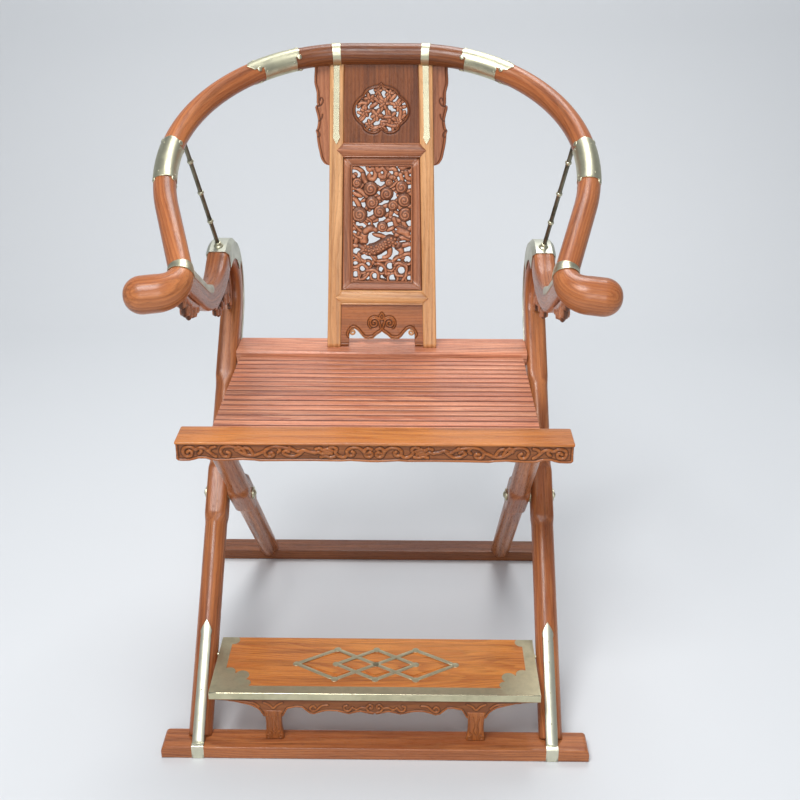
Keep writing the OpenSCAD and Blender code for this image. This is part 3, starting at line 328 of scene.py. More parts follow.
def carved_line(points: np.ndarray, width: Sequence[float], depth: float, at: float,
                rows: int = 10) -> Shell:
    """A carved stem in flat coordinates (x, depth, z): an ellipse carried along a plane curve.

    Args:
        points: Plane curve, n by 2.
        width: Half widths, spread evenly along the curve.
        depth: Half depth.
        at: Depth of the centre line.
        rows: Points round the stem.

    Returns:
        The shell, with its ends rounded.
    """
    p = np.asarray(points, float)
    n = len(p)
    f = np.linspace(0, 1, n)
    w = np.interp(f, np.linspace(0, 1, len(width)), width)
    run = np.concatenate([[0], np.cumsum(np.linalg.norm(np.diff(p, axis=0), axis=1))])
    tip = np.minimum(run, run[-1] - run) / np.maximum(w, 1e-6)
    ease = np.sqrt(np.clip(1 - (1 - np.clip(tip, 0, 1)) ** 2, 0.004, 1))
    t = np.gradient(p, axis=0)
    t /= np.maximum(np.linalg.norm(t, axis=1, keepdims=True), 1e-9)
    path = np.stack([p[:, 0], np.full(n, at), p[:, 1]], 1)
    side = np.stack([-t[:, 1], np.zeros(n), t[:, 0]], 1)
    return carried(path, side, Y_AXIS, oval(w * ease, depth * ease, 2.2, rows))


def relief_of(x: np.ndarray, z: np.ndarray, strokes: Sequence[Stroke], over: bool = False) -> np.ndarray:
    """Height of raised rounded lines: h sqrt(1 - (d/w)^2), d the distance to the nearest line.

    Args:
        x, z: Coordinates of the field's points.
        strokes: Tuples of curve, half width w and height h.
        over: Lets each stroke lie over the ones before it, instead of the highest winning.

    Returns:
        The height at each point.
    """
    out = np.zeros_like(x)
    for curve, w, h in strokes:
        low, high = curve.min(0) - w, curve.max(0) + w
        near = (x > low[0]) & (x < high[0]) & (z > low[1]) & (z < high[1])
        if not near.any():
            continue
        q = np.stack([x[near], z[near]], -1)[:, None, :]
        a, d = curve[None, :-1], np.diff(curve, axis=0)[None]
        t = np.clip(((q - a) * d).sum(-1) / np.maximum((d * d).sum(-1), 1e-9), 0, 1)
        gap = np.linalg.norm(q - a - d * t[..., None], axis=-1).min(1)
        high = h * np.sqrt(np.clip(1 - (gap / w) ** 2, 0, 1))
        out[near] = np.where(gap < w, high, out[near]) if over else np.maximum(out[near], high)
    return out


def relief_board(front: np.ndarray, back_y: float, every: int, tone: np.ndarray) -> Shell:
    """A carved board: a field of front points closed by a flat back with fewer rows.

    Args:
        front: Stations by rows by 3, in millimetres.
        back_y: Depth of the back.
        every: The back takes each such row of the front.
        tone: Relief of the front's points, 0 in the hollows, where the wood paints shade.

    Returns:
        The shell, with its relief filled in.
    """
    back = front[:, ::-1][:, ::every].copy()
    back[..., 1] = back_y
    shell = skin(np.concatenate([front, back], 1))
    level = np.concatenate([tone, np.ones(back.shape[:2])], 1)
    shell.relief = np.concatenate([level.ravel(), [1.0, 1.0]])
    return shell


def linked(name: str, data: bpy.types.ID) -> bpy.types.Object:
    """A new object of the scene that shows a mesh, lamp or camera.

    Args:
        name: Its name.
        data: The mesh, lamp or camera.

    Returns:
        The object.
    """
    obj = bpy.data.objects.new(name, data)
    bpy.context.scene.collection.objects.link(obj)
    return obj


def points_of(mesh: bpy.types.Mesh) -> np.ndarray:
    """A mesh's points in metres, n by 3.

    Args:
        mesh: The mesh.

    Returns:
        The points, in single precision.
    """
    co = np.zeros(len(mesh.vertices) * 3, np.float32)
    mesh.vertices.foreach_get("co", co)
    return co.reshape(-1, 3)


def set_attributes(mesh: bpy.types.Mesh, along: np.ndarray, relief: np.ndarray) -> None:
    """Gives a mesh its two attributes and smooth faces.

    Args:
        mesh: The mesh, which has neither attribute yet.
        along: Grain coordinates of its points, in metres.
        relief: Height of its points, 0 to 1; the wood paints shade where it is low.
    """
    grain = mesh.attributes.new("along", "FLOAT_VECTOR", "POINT")
    grain.data.foreach_set("vector", along.astype(np.float32).ravel())
    mesh.attributes.new("relief", "FLOAT", "POINT").data.foreach_set("value", relief.astype(np.float32))
    mesh.polygons.foreach_set("use_smooth", np.ones(len(mesh.polygons), bool))


def mesh_object(name: str, shell: Shell) -> bpy.types.Object:
    """Puts a shell into a mesh with its attributes, and the mesh into the scene.

    Args:
        name: Name of the mesh and of the object.
        shell: The surface, in millimetres.

    Returns:
        The object, in metres.
    """
    mesh = bpy.data.meshes.new(name)
    nq, nt = len(shell.quads), len(shell.tris)
    mesh.vertices.add(len(shell.points))
    mesh.vertices.foreach_set("co", (shell.points * MM).astype(np.float32).ravel())
    mesh.loops.add(4 * nq + 3 * nt)
    loops = np.concatenate([shell.quads.ravel(), shell.tris.ravel()]).astype(np.int32)
    mesh.loops.foreach_set("vertex_index", loops)
    mesh.polygons.add(nq + nt)
    starts = np.concatenate([np.arange(nq) * 4, 4 * nq + np.arange(nt) * 3]).astype(np.int32)
    mesh.polygons.foreach_set("loop_start", starts)
    mesh.update(calc_edges=True)
    mesh.validate()
    set_attributes(mesh, shell.along, shell.relief)
    return linked(name, mesh)


def melted(name: str, shell: Shell, voxel: float, rounds: int = 2) -> bpy.types.Object:
    """One smooth skin over overlapping shells: a voxel remesh and a light smoothing, applied.

    Args:
        name: Name of the piece.
        shell: The overlapping shells, already in place.
        voxel: Voxel size in millimetres.
        rounds: Smoothing passes.

    Returns:
        The object, with its grain running up and its relief still to be set.
    """
    raw = mesh_object(name + "_raw", shell)
    mod = raw.modifiers.new("skin", "REMESH")
    mod.mode, mod.voxel_size, mod.use_smooth_shade = "VOXEL", voxel * MM, True
    ease = raw.modifiers.new("ease", "SMOOTH")
    ease.factor, ease.iterations = 0.5, rounds
    bpy.context.view_layer.update()
    made = bpy.data.meshes.new_from_object(raw.evaluated_get(bpy.context.evaluated_depsgraph_get()))
    made.name = name
    old = raw.data
    bpy.data.objects.remove(raw)
    bpy.data.meshes.remove(old)
    for key in [a.name for a in made.attributes if a.name in ("along", "relief")]:
        made.attributes.remove(made.attributes[key])
    set_attributes(made, points_of(made)[:, [2, 0, 1]], np.ones(len(made.vertices)))
    return linked(name, made)


def set_shade_relief(obj: bpy.types.Object, height: np.ndarray) -> None:
    """Fills a piece's relief attribute, which sets its painted shade: 0 in the hollows and 1 on the crests,
    held between them.
    """
    value = np.clip(height, 0, 1).astype(np.float32)
    obj.data.attributes["relief"].data.foreach_set("value", value)


# Finishes


class Nodes:
    """Short-hand for placing and joining nodes in one tree."""

    def __init__(self, tree: bpy.types.NodeTree) -> None:
        """Keeps the tree."""
        self.tree = tree

    def add(self, kind: str, sockets: Optional[dict[str, Feed]] = None, **settings: Any) -> bpy.types.Node:
        """Adds a node.

        Args:
            kind: Blender's name of the node type.
            sockets: Inputs by name, each fed with a socket or a constant.
            settings: The node's own properties.

        Returns:
            The node.
        """
        node = self.tree.nodes.new(kind)
        for key, value in settings.items():
            setattr(node, key, value)
        for key, value in (sockets or {}).items():
            self.feed(node.inputs[key], value)
        return node

    def feed(self, where: bpy.types.NodeSocket, value: Feed) -> None:
        """Links a socket, or sets its constant."""
        if isinstance(value, bpy.types.NodeSocket):
            self.tree.links.new(value, where)
        else:
            where.default_value = value

    def feed_all(self, node: bpy.types.Node, *values: Feed) -> bpy.types.Node:
        """Feeds a node's inputs in their order and gives the node back."""
        for where, value in zip(node.inputs, values):
            self.feed(where, value)
        return node

    def math(self, operation: str, a: Feed, b: Feed = 0.0) -> bpy.types.NodeSocket:
        """A Math node's result."""
        return self.feed_all(self.add("ShaderNodeMath", operation=operation), a, b).outputs[0]

    def vector(self, operation: str, a: Feed, b: Feed) -> bpy.types.NodeSocket:
        """A Vector Math node's result."""
        return self.feed_all(self.add("ShaderNodeVectorMath", operation=operation), a, b).outputs[0]

    def noise(self, vector: Feed, scale: float, detail: float = 2.0,
              rough: float = 0.5) -> bpy.types.NodeSocket:
        """Noise between 0 and 1."""
        sockets = {"Vector": vector, "Scale": scale, "Detail": detail, "Roughness": rough}
        return self.add("ShaderNodeTexNoise", sockets).outputs["Fac"]

    def between(self, value: Feed, low: float, high: float, a: float = 0.0,
                b: float = 1.0) -> bpy.types.NodeSocket:
        """Maps low..high to a..b, held at the ends."""
        return self.feed_all(self.add("ShaderNodeMapRange", clamp=True), value, low, high, a, b).outputs[0]

    def mix(self, fac: Feed, a: Feed, b: Feed) -> bpy.types.NodeSocket:
        """Mixes two colours.

        Args:
            fac: Share of b.
            a, b: The two colours.

        Returns:
            The mixed colour.
        """
        node = self.add("ShaderNodeMix", data_type="RGBA")
        for key, value in ((0, fac), (6, a), (7, b)):
            self.feed(node.inputs[key], value)
        return node.outputs[2]

    def surface(self, group: bpy.types.Node, bump: float, height: float, sockets: dict[str, Feed]) -> None:
        """Feeds a finish's group to the Principled shader, and that to the material's output.

        Args:
            group: The group node, with outputs Color, Roughness and Height.
            bump: Strength of the bump.
            height: Real height of the bump in metres.
            sockets: The shader's own constants.
        """
        bumps = {"Strength": bump, "Distance": height, "Height": group.outputs["Height"]}
        normal = self.add("ShaderNodeBump", bumps).outputs[0]
        looks = {"Base Color": group.outputs["Color"], "Roughness": group.outputs["Roughness"],
                 "Normal": normal}
        shade = self.add("ShaderNodeBsdfPrincipled", {**sockets, **looks})
        self.add("ShaderNodeOutputMaterial", {"Surface": shade.outputs[0]})


def new_group(name: str, inputs: dict[str, Optional[Feed]]) -> tuple[Nodes, bpy.types.Node, bpy.types.Node]:
    """A shader group whose outputs are Color, Roughness and Height.

    Args:
        name: Name of the group.
        inputs: Default of each input: a colour has four values, None stands for a vector.

    Returns:
        The tree's nodes, its input node and its output node.
    """
    group = bpy.data.node_groups.new(name, "ShaderNodeTree")
    for key, value in inputs.items():
        kind = "Vector" if value is None else "Float" if isinstance(value, float) else "Color"
        made = group.interface.new_socket(name=key, in_out="INPUT", socket_type="NodeSocket" + kind)
        if value is not None:
            made.default_value = value
    for key, kind in (("Color", "Color"), ("Roughness", "Float"), ("Height", "Float")):
        group.interface.new_socket(name=key, in_out="OUTPUT", socket_type="NodeSocket" + kind)
    return Nodes(group), group.nodes.new("NodeGroupInput"), group.nodes.new("NodeGroupOutput")


def blank_material(name: str) -> tuple[bpy.types.Material, Nodes]:
    """A material with an empty node tree.

    Args:
        name: Its name.
    """
    mat = bpy.data.materials.new(name)
    mat.use_nodes = True
    mat.node_tree.nodes.clear()
    return mat, Nodes(mat.node_tree)


def wood_figure_group() -> None:
    """Figure of one hardwood: growth rings round the grain, dark streaks, fibres and pores.

    Rings are a wave on the distance from the grain's axis, bent by slow noise. Streaks, fibres and
    pores are noises stretched along the grain. Hollows of the relief get painted shade, the dark tone.
    """
    n, given, out = new_group("wood_figure", {
        "Vector": None, "Light": (0.6, 0.3, 0.15, 1), "Mid": (0.4, 0.18, 0.08, 1),
        "Dark": (0.15, 0.06, 0.03, 1),
        "Rings": 50.0, "Wander": 0.02, "Streaks": 0.7, "Relief": 1.0})
    v, streaks, light, dark = (given.outputs[key] for key in ("Vector", "Streaks", "Light", "Dark"))
    slow = n.vector("MULTIPLY", v, (0.18, 1.0, 1.0))
    long = n.vector("MULTIPLY", v, (0.045, 1.0, 1.0))
    bend = n.add("ShaderNodeTexNoise", {"Vector": slow, "Scale": 9.0, "Detail": 2.0})
    shift = n.vector("SUBTRACT", bend.outputs["Color"], (0.5, 0.5, 0.5))
    scaled = n.add("ShaderNodeVectorMath", {"Vector": shift, "Scale": given.outputs["Wander"]},
                   operation="SCALE")
    bent = n.vector("ADD", n.vector("MULTIPLY", v, (0.09, 1.0, 1.0)), scaled.outputs[0])
    wave = {"Vector": bent, "Scale": given.outputs["Rings"], "Distortion": 3.0, "Detail": 2.0,
            "Detail Scale": 2.0}
    rings = n.add("ShaderNodeTexWave", wave, wave_type="RINGS", rings_direction="X",
                  wave_profile="SAW").outputs["Fac"]
    tone = n.noise(slow, 16.0, 3.0)
    fibre = n.noise(long, 900.0, 3.0, 0.6)
    pores = n.between(n.noise(n.vector("MULTIPLY", v, (0.07, 1.0, 1.0)), 1500.0, 1.0), 0.62, 0.70)
    streak = n.between(n.noise(long, 95.0, 4.0, 0.65), 0.47, 0.66)
    body = n.math("ADD", n.math("MULTIPLY", rings, 0.45), tone)
    base = n.mix(n.between(body, 0.50, 0.98), given.outputs["Mid"], light)
    late = n.math("MULTIPLY", n.between(rings, 0.80, 1.0), n.math("MULTIPLY", streaks, 0.75))
    base = n.mix(n.math("MAXIMUM", n.math("MULTIPLY", streak, streaks), late), base, dark)
    base = n.mix(n.between(fibre, 0.35, 0.7, 0.0, 0.22), base, light)
    base = n.mix(n.math("MULTIPLY", pores, 0.35), base, dark)
    # Painted shade: low relief mixes the colour towards the dark tone and roughens it.
    hollow_shade = n.between(given.outputs["Relief"], 0.15, 0.85, 0.8, 0.0)
    rough = n.math("ADD", n.between(fibre, 0.3, 0.7, 0.24, 0.36), n.math("MULTIPLY", pores, 0.15))
    rough = n.math("ADD", rough, n.math("MULTIPLY", hollow_shade, 0.25))
    height = n.math("SUBTRACT", n.math("MULTIPLY", fibre, 0.35), n.math("MULTIPLY", pores, 0.6))
    n.feed_all(out, n.mix(hollow_shade, base, dark), rough, height)


def worn_metal_group() -> None:
    """Sheet metal that has been handled: cloudy tarnish, fine rubbing marks and small dents."""
    n, given, out = new_group("worn_metal", {
        "Vector": None, "Clean": (0.6, 0.6, 0.5, 1), "Tarnish": (0.4, 0.4, 0.3, 1), "Cover": 0.4,
        "Gloss": 0.25})
    v = given.outputs["Vector"]
    cloud = n.between(n.noise(v, 38.0, 5.0, 0.62), 0.42, 0.68)
    spots = n.between(n.noise(v, 260.0, 2.0), 0.62, 0.72)
    rub = n.noise(n.vector("MULTIPLY", v, (1.0, 14.0, 1.0)), 160.0, 3.0)
    worst = n.math("MAXIMUM", cloud, n.math("MULTIPLY", spots, 0.6))
    cover = n.math("MULTIPLY", worst, given.outputs["Cover"])
    marks = n.math("ADD", n.math("MULTIPLY", cover, 0.3), n.math("MULTIPLY", rub, 0.12))
    rough = n.math("ADD", given.outputs["Gloss"], marks)
    height = n.math("ADD", n.math("MULTIPLY", rub, 0.2), n.noise(v, 70.0, 2.0))
    n.feed_all(out, n.mix(cover, given.outputs["Clean"], given.outputs["Tarnish"]), rough, height)


@dataclass(frozen=True)
class WoodFinish:
    """A waxed hardwood: three tones of its figure and how strongly it is marked.

    Rings counts growth rings, wander bends them, centre places the grain's axis in metres, and seam
    is the height in metres below which the wood lies in shadow between slats.
    """

    name: str
    light: Colour
    mid: Colour
    dark: Colour
    rings: float = 55.0
    wander: float = 0.05
    streaks: float = 0.6
    centre: tuple[float, float, float] = (0.0, 0.02, 0.03)
    bump: float = 0.35
    seam: float = 0.0

    def material(self, grain: Grain) -> bpy.types.Material:
        """Builds the material.

        Args:
            grain: Where the grain direction comes from.

        Returns:
            The material. It paints shade from the piece's relief where it has one, or below the seam.
        """
        mat, n = blank_material(f"{self.name}_{grain.name.lower()}")
        if grain is Grain.ALONG:
            source = n.add("ShaderNodeAttribute", attribute_name="along").outputs["Vector"]
        else:
            source = n.add("ShaderNodeTexCoord").outputs["Object"]
        place = n.add("ShaderNodeMapping", {"Vector": source, "Location": self.centre}, vector_type="POINT")
        tones = {"Light": (*self.light, 1), "Mid": (*self.mid, 1), "Dark": (*self.dark, 1)}
        marks = {"Rings": self.rings, "Wander": self.wander, "Streaks": self.streaks}
        figure = n.add("ShaderNodeGroup", {"Vector": place.outputs[0], **tones, **marks},
                       node_tree=bpy.data.node_groups["wood_figure"])
        if grain is Grain.ALONG:
            relief = n.add("ShaderNodeAttribute", attribute_name="relief").outputs["Fac"]
            n.feed(figure.inputs["Relief"], relief)
        elif self.seam:
            height = n.add("ShaderNodeSeparateXYZ", {"Vector": source}).outputs["Z"]
            n.feed(figure.inputs["Relief"], n.between(height, self.seam - 0.0030, self.seam - 0.0001))
        wax = {"Specular IOR Level": 0.36, "Coat Weight": 0.08, "Coat Roughness": 0.12}
        n.surface(figure, self.bump, 0.0004, wax)
        return mat


@dataclass(frozen=True)
class MetalFinish:
    """A handled metal: clean tone, tarnish, how much it covers, and gloss."""

    name: str
    clean: Colour
    tarnish: Colour
    cover: float
    gloss: float
    dents: float = 0.2

    def material(self) -> bpy.types.Material:
        """Builds the material on Object coordinates."""
        mat, n = blank_material(self.name)
        tones = {"Clean": (*self.clean, 1), "Tarnish": (*self.tarnish, 1), "Cover": self.cover,
                 "Gloss": self.gloss}
        worn = n.add("ShaderNodeGroup", {"Vector": n.add("ShaderNodeTexCoord").outputs["Object"], **tones},
                     node_tree=bpy.data.node_groups["worn_metal"])
        n.surface(worn, self.dents, 0.0006, {"Metallic": 1.0})
        return mat


ROSEWOOD = WoodFinish("rosewood", (0.49, 0.175, 0.060), (0.30, 0.086, 0.028), (0.065, 0.017, 0.009),
                      streaks=0.6)
# A darker copy of the rosewood, painted shade for the crest and the rear runner.
SHADED_ROSEWOOD = WoodFinish("shaded_rosewood", (0.26, 0.085, 0.025), (0.14, 0.038, 0.012), (0.040, 0.011, 0.005),
                   streaks=0.6)
GOLDEN = WoodFinish("golden_rosewood", (0.60, 0.22, 0.052), (0.44, 0.135, 0.030), (0.16, 0.042, 0.014),
                    streaks=0.55)
GOLDEN_DEEP = WoodFinish("golden_apron", (0.44, 0.145, 0.036), (0.29, 0.082, 0.020), (0.045, 0.013, 0.005),
                         streaks=0.45)
TAN = WoodFinish("tan_rosewood", (0.76, 0.42, 0.19), (0.58, 0.27, 0.10), (0.22, 0.078, 0.028), streaks=0.65)
WING = WoodFinish("wing_rosewood", (0.47, 0.185, 0.085), (0.29, 0.098, 0.042), (0.060, 0.018, 0.010),
                  streaks=0.55)
PANEL = WoodFinish("panel_rosewood", (0.27, 0.085, 0.024), (0.15, 0.039, 0.011), (0.045, 0.012, 0.005),
                   streaks=0.55)
CARVED = WoodFinish("carved_rosewood", (0.64, 0.27, 0.135), (0.42, 0.15, 0.068), (0.022, 0.006, 0.004),
                    streaks=0.3)
SLATTED = WoodFinish("slat_rosewood", (0.74, 0.32, 0.18), (0.50, 0.165, 0.085), (0.13, 0.034, 0.022),
                     streaks=0.7)
BOARD = WoodFinish("board_rosewood", (0.70, 0.27, 0.06), (0.47, 0.14, 0.032), (0.17, 0.045, 0.014),
                   rings=40.0,
                   wander=0.17, streaks=0.55, centre=(0.0, 0.24, -0.075))
BRASS = MetalFinish("pale_brass", (0.60, 0.58, 0.42), (0.36, 0.36, 0.25), 0.5, 0.27)
POLISHED = MetalFinish("polished_brass", (0.64, 0.60, 0.42), (0.46, 0.43, 0.27), 0.12, 0.16, 0.03)
STRIP = MetalFinish("strip_brass", (0.76, 0.75, 0.60), (0.48, 0.48, 0.36), 0.4, 0.24, 0.1)
PATINA = MetalFinish("elbow_brass", (0.60, 0.60, 0.50), (0.42, 0.44, 0.38), 0.6, 0.34)
AGED = MetalFinish("aged_brass", (0.66, 0.62, 0.42), (0.44, 0.42, 0.28), 0.6, 0.30)
BRONZE = MetalFinish("dark_bronze", (0.20, 0.19, 0.14), (0.05, 0.05, 0.035), 0.8, 0.25)


class Palette:
    """Every material of the chair, built once from its finish."""

    def __init__(self) -> None:
        """Builds the shared groups and keeps an empty store of materials."""
        wood_figure_group()
        worn_metal_group()
        self.made: dict[str, bpy.types.Material] = {}

    def wood(self, finish: WoodFinish, grain: Grain = Grain.ALONG) -> bpy.types.Material:
        """The material of a wood finish with one grain source.

        Args:
            finish: The finish.
            grain: Where the grain direction comes from.

        Returns:
            The material, made the first time that it is asked for.
        """
        key = f"{finish.name}_{grain.name}"
        if key not in self.made:
            self.made[key] = finish.material(grain)
        return self.made[key]

    def metal(self, finish: MetalFinish) -> bpy.types.Material:
        """The material of a metal finish."""
        if finish.name not in self.made:
            self.made[finish.name] = finish.material()
        return self.made[finish.name]


@dataclass
class Workshop:
    """Dresses finished pieces: material, body and the solids that each stands for."""

    palette: Palette

    def fit(self, obj: bpy.types.Object, material: bpy.types.Material, slot: Slot,
            body: Body = Body.ARM_FRAME, stands_for: Sequence[str] = ()) -> None:
        """Gives a piece its material and body, and hides the solids that it stands for.

        Args:
            obj: The piece.
            material: Its material.
            slot: Not used.
            body: The body that it rides.
            stands_for: The solids that it hides.
        """
        obj.data.materials.clear()
        obj.data.materials.append(material)
        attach(obj, body.value)
        if stands_for:
            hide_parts(*stands_for)
        tris = sum(len(p.vertices) - 2 for p in obj.data.polygons)
        LOG.info("piece %s rides %s, %d triangles", obj.name, body.value, tris)

    def make(self, name: str, shell: Shell, material: bpy.types.Material, slot: Slot,
             body: Body = Body.ARM_FRAME, stands_for: Sequence[str] = ()) -> bpy.types.Object:
        """Makes a piece from its shell and fits it.

        Args:
            name: Name of the piece.
            shell: Its surface.
            material, slot, body, stands_for: As for fit.

        Returns:
            The piece.
        """
        obj = mesh_object(name, shell)
        self.fit(obj, material, slot, body, stands_for)
        return obj

    def dress(self, node: str, material: bpy.types.Material) -> None:
        """Gives a solid that stays its material.

        Args:
            node: Name of the solid.
            material: Its material.
        """
        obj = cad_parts[node]
        obj.data.materials.clear()
        obj.data.materials.append(material)
        LOG.info("solid %s keeps its shape", node)


# Rows of scales on the beast; a boss's reach as a share of its radius; its least height
SCALE_ROWS = 9
BOSS_RIM = 1.1
BOSS_HEIGHT = 0.66

# Outlines and turned profiles, in millimetres; a carving's are flat x and z about its middle

NAIL_HEAD = ((-0.6, 1.5), (0.2, 1.4), (0.6, 0.9), (0.75, 0.1))
SHEET_CURL = ((-1.5, 4.3), (0.9, 4.2), (1.5, 3.4), (1.9, 1.6), (1.95, 0.1))
ROD_FLANGE = ((-1.0, 8.6), (0.6, 8.8), (1.4, 8.2), (2.2, 6.6), (3.6, 5.6), (5.2, 5.3), (6.2, 5.9),
              (7.0, 5.3), (7.6, 4.0))
BEAST_BACK = ((-34, -44), (-24, -47), (-10, -45), (4, -37), (16, -31), (27, -34))
# Roundels of cloud: x, z, radius, start angle and way of the spiral
CLOUD_ROUNDELS = (
    (-20, 63, 12.5, 200, 1), (-18, 38, 11.5, 20, -1), (-4, 22, 11, 90, 1), (-41, 17, 13.5, 150, 1),
    (41, 43, 12.0, 300, -1), (43, 17, 12.0, 60, 1), (1, -5, 9.5, 0, -1), (36, 66, 11.0, 120, 1),
    (9, 54, 11.5, 240, -1), (-45, 73, 9.0, 40, 1), (20, 33, 9.5, 10, 1), (13, 74, 7.0, 0, 1),
)
# Stems of cloud
CLOUD_STEMS = (
    [(-56, 100), (-44, 99), (-34, 91), (-36, 80), (-46, 78), (-50, 86), (-43, 89)],
    [(-28, 106), (-23, 96), (-15, 99), (-11, 90), (-15, 80), (-23, 83), (-20, 90)],
    [(-10, 106), (-6, 95), (2, 100), (8, 92), (4, 84), (-3, 85), (-2, 91)],
    [(8, 104), (14, 98), (22, 99), (26, 90), (20, 82), (13, 85), (16, 91)],
    [(26, 90), (34, 88), (40, 95), (50, 93), (57, 99)], [(30, 106), (36, 100), (46, 104), (57, 106)],
    [(44, 92), (47, 82), (56, 80)], [(-34, 88), (-30, 76), (-21, 66)],
    [(17, 84), (14, 74), (9, 60), (3, 44)], [(34, 88), (37, 77), (36, 66), (41, 54), (41, 42)],
    [(-57, 62), (-47, 64), (-36, 57), (-28, 50), (-18, 39)], [(-57, 46), (-48, 43), (-41, 31), (-41, 18)],
    [(-57, 30), (-50, 26), (-41, 17)], [(41, 42), (50, 33), (57, 30)],
    [(20, 34), (32, 30), (43, 18), (57, 8)], [(-5, 24), (6, 32), (20, 34), (30, 42), (41, 42)],
    [(-41, 18), (-50, 7), (-57, 6)], [(-41, 18), (-30, 6), (-22, 8), (-12, 14), (-4, 22)],
    [(1, -4), (10, 6), (22, 9), (32, 6), (43, 16)], [(57, -6), (47, -8), (40, 2), (43, 16)],
    [(-57, -12), (-48, -7), (-41, -13), (-46, -24), (-57, -26)], [(24, 56), (30, 60), (36, 66)],
    [(-10, 44), (0, 48), (9, 54)], [(-30, 26), (-24, 32), (-18, 38)], [(16, 14), (18, 24), (20, 33)],
    [(22, 9), (26, -2), (34, -6), (44, -10)], [(-46, -24), (-50, -38), (-57, -44)], [(50, 52), (57, 56)],
)
# Waves beside the beast: points and half widths
WAVE_STEMS = (
    ([(24, -24), (34, -14), (46, -14), (58, -4)], (3, 7, 6, 2)),
    ([(26, -30), (40, -24), (50, -26), (58, -20)], (3, 6.5, 5.5, 2)),
    ([(26, -36), (40, -38), (50, -36), (58, -40)], (3, 6, 5, 2)),
    ([(-56, -38), (-44, -40), (-30, -44)], (2, 4.5, 4)),
)
# Horns, mane and legs of the beast: points and half widths
BEAST_LIMBS = (
    ([(-18, -2), (-20, 6), (-28, 10)], (2.8, 2.4, 1.4)), ([(-26, -2), (-34, 4), (-42, 2)], (3, 2.4, 1.5)),
    ([(-34, -14), (-42, -10), (-49, -2)], (3.4, 2.6, 1.8)),
    ([(-38, -24), (-46, -22), (-53, -16)], (3.4, 2.8, 1.8)),
    ([(-32, -50), (-42, -54), (-40, -64), (-32, -67)], (5.5, 4.6, 3.8, 3.4)),
    ([(-20, -54), (-12, -62), (-16, -70), (-8, -73)], (5.5, 4.6, 3.8, 3.4)),
    ([(14, -40), (14, -54), (6, -60), (0, -59)], (6.5, 5, 3.8, 3.4)),
    ([(24, -38), (36, -48), (34, -58), (43, -62)], (7, 5.5, 4.2, 3.4)),
)
# Eyes pierced in the rock: x, z and radius
ROCK_EYES = (
    (-49, -91, 5.5), (-36, -81, 5.0), (-13, -94, 5.2), (15, -76, 6), (36, -84, 6.5), (20, -98, 6.5),
    (47, -64, 6.2), (-1, -82, 5), (-26, -73, 4), (-27, -97, 4.6), (51, -98, 4.6), (-49, -72, 4.5),
    (30, -66, 4.5),
)
# Masses of rock between the eyes: x, z, half width, half height and lean
ROCK_MASSES = (
    (-57, -80, 6, 14, 0), (-43, -101, 12, 6, 0), (-20, -84, 5, 9, -20), (-5, -103, 16, 5, 0),
    (6, -90, 6, 9, 20), (27, -92, 5, 9, 0), (36, -101, 12, 6, 0), (46, -78, 5, 11, 0), (57, -84, 6, 18, 0),
    (24, -76, 6, 7, 10), (8, -68, 9, 4, 20), (-14, -80, 8, 4, 0), (56, -52, 5, 9, 0), (-38, -92, 5, 6, 0),
    (40, -72, 6, 4, 0),
)
# Ridges of rock and the last knots of cloud: points and half width
ROCK_STEMS = (
    ([(-57, -79), (-46, -77), (-38, -72), (-28, -78), (-25, -86), (-30, -96), (-42, -102)], 3.6),
    ([(-44, -84), (-43, -94), (-40, -102)], 2.4),
    ([(-28, -84), (-14, -83), (-7, -90), (-6, -100), (4, -104)], 3.6),
    ([(-12, -72), (-3, -72), (6, -80), (8, -90), (13, -88)], 3.8), ([(24, -84), (27, -92), (40, -94)], 3.4),
    ([(24, -74), (30, -70), (40, -73), (46, -78), (44, -92), (38, -102)], 3.6),
    ([(50, -88), (57, -86)], 4.0), ([(20, -66), (30, -60), (40, -55), (50, -53), (57, -56)], 3.8),
    ([(-57, -54), (-46, -60), (-40, -68)], 3.6), ([(30, -10), (40, -14), (52, -20)], 8.0),
    ([(-20, -58), (-10, -66), (0, -66), (12, -64)], 3.2), ([(-56, 88), (-50, 84)], 5.0),
    ([(-57, -102), (-40, -104), (-20, -104), (20, -106), (57, -104)], 2.4),
    ([(10, 64), (22, 70), (30, 76)], 4.0), ([(-8, 60), (4, 66), (12, 74)], 4.0),
)
# Small leaves of cloud: x, z, half length, half width and lean
CLOUD_LEAVES = (
    (-44, 52, 11, 5.5, -20), (-20, 81, 7, 4, 40), (-3, 42, 9, 5, 30), (24, 63, 10, 5, 20),
    (32, 49, 7, 4, -30), (12, 17, 9, 5, 30), (-5, -21, 14, 5, -12), (16, -9, 11, 5, 24),
    (27, -17, 10, 5, -30), (-42, -9, 9, 5, 20), (38, 1, 9, 5, -20), (-13, 6, 8, 5, 10), (-21, 27, 7, 4, 60),
    (-50, 25, 7, 5, 0), (51, 31, 6, 5, 0), (-8, 66, 9, 4, -30), (3, 79, 7, 4, 20), (52, 58, 6, 6, 0),
    (-50, 66, 7, 4, 0), (-36, 68, 7, 4, 40), (28, 20, 8, 4, -30), (-33, 42, 6, 4, 30), (50, 74, 6, 5, 0),
    (24, 80, 7, 4, -40), (-52, 0, 5, 5, 0), (-24, 8, 8, 4, -30), (-46, -32, 8, 4, 30), (6, 4, 7, 4, 40),
    (22, 34, 7, 4, 0), (-12, 50, 7, 4, 20),
)
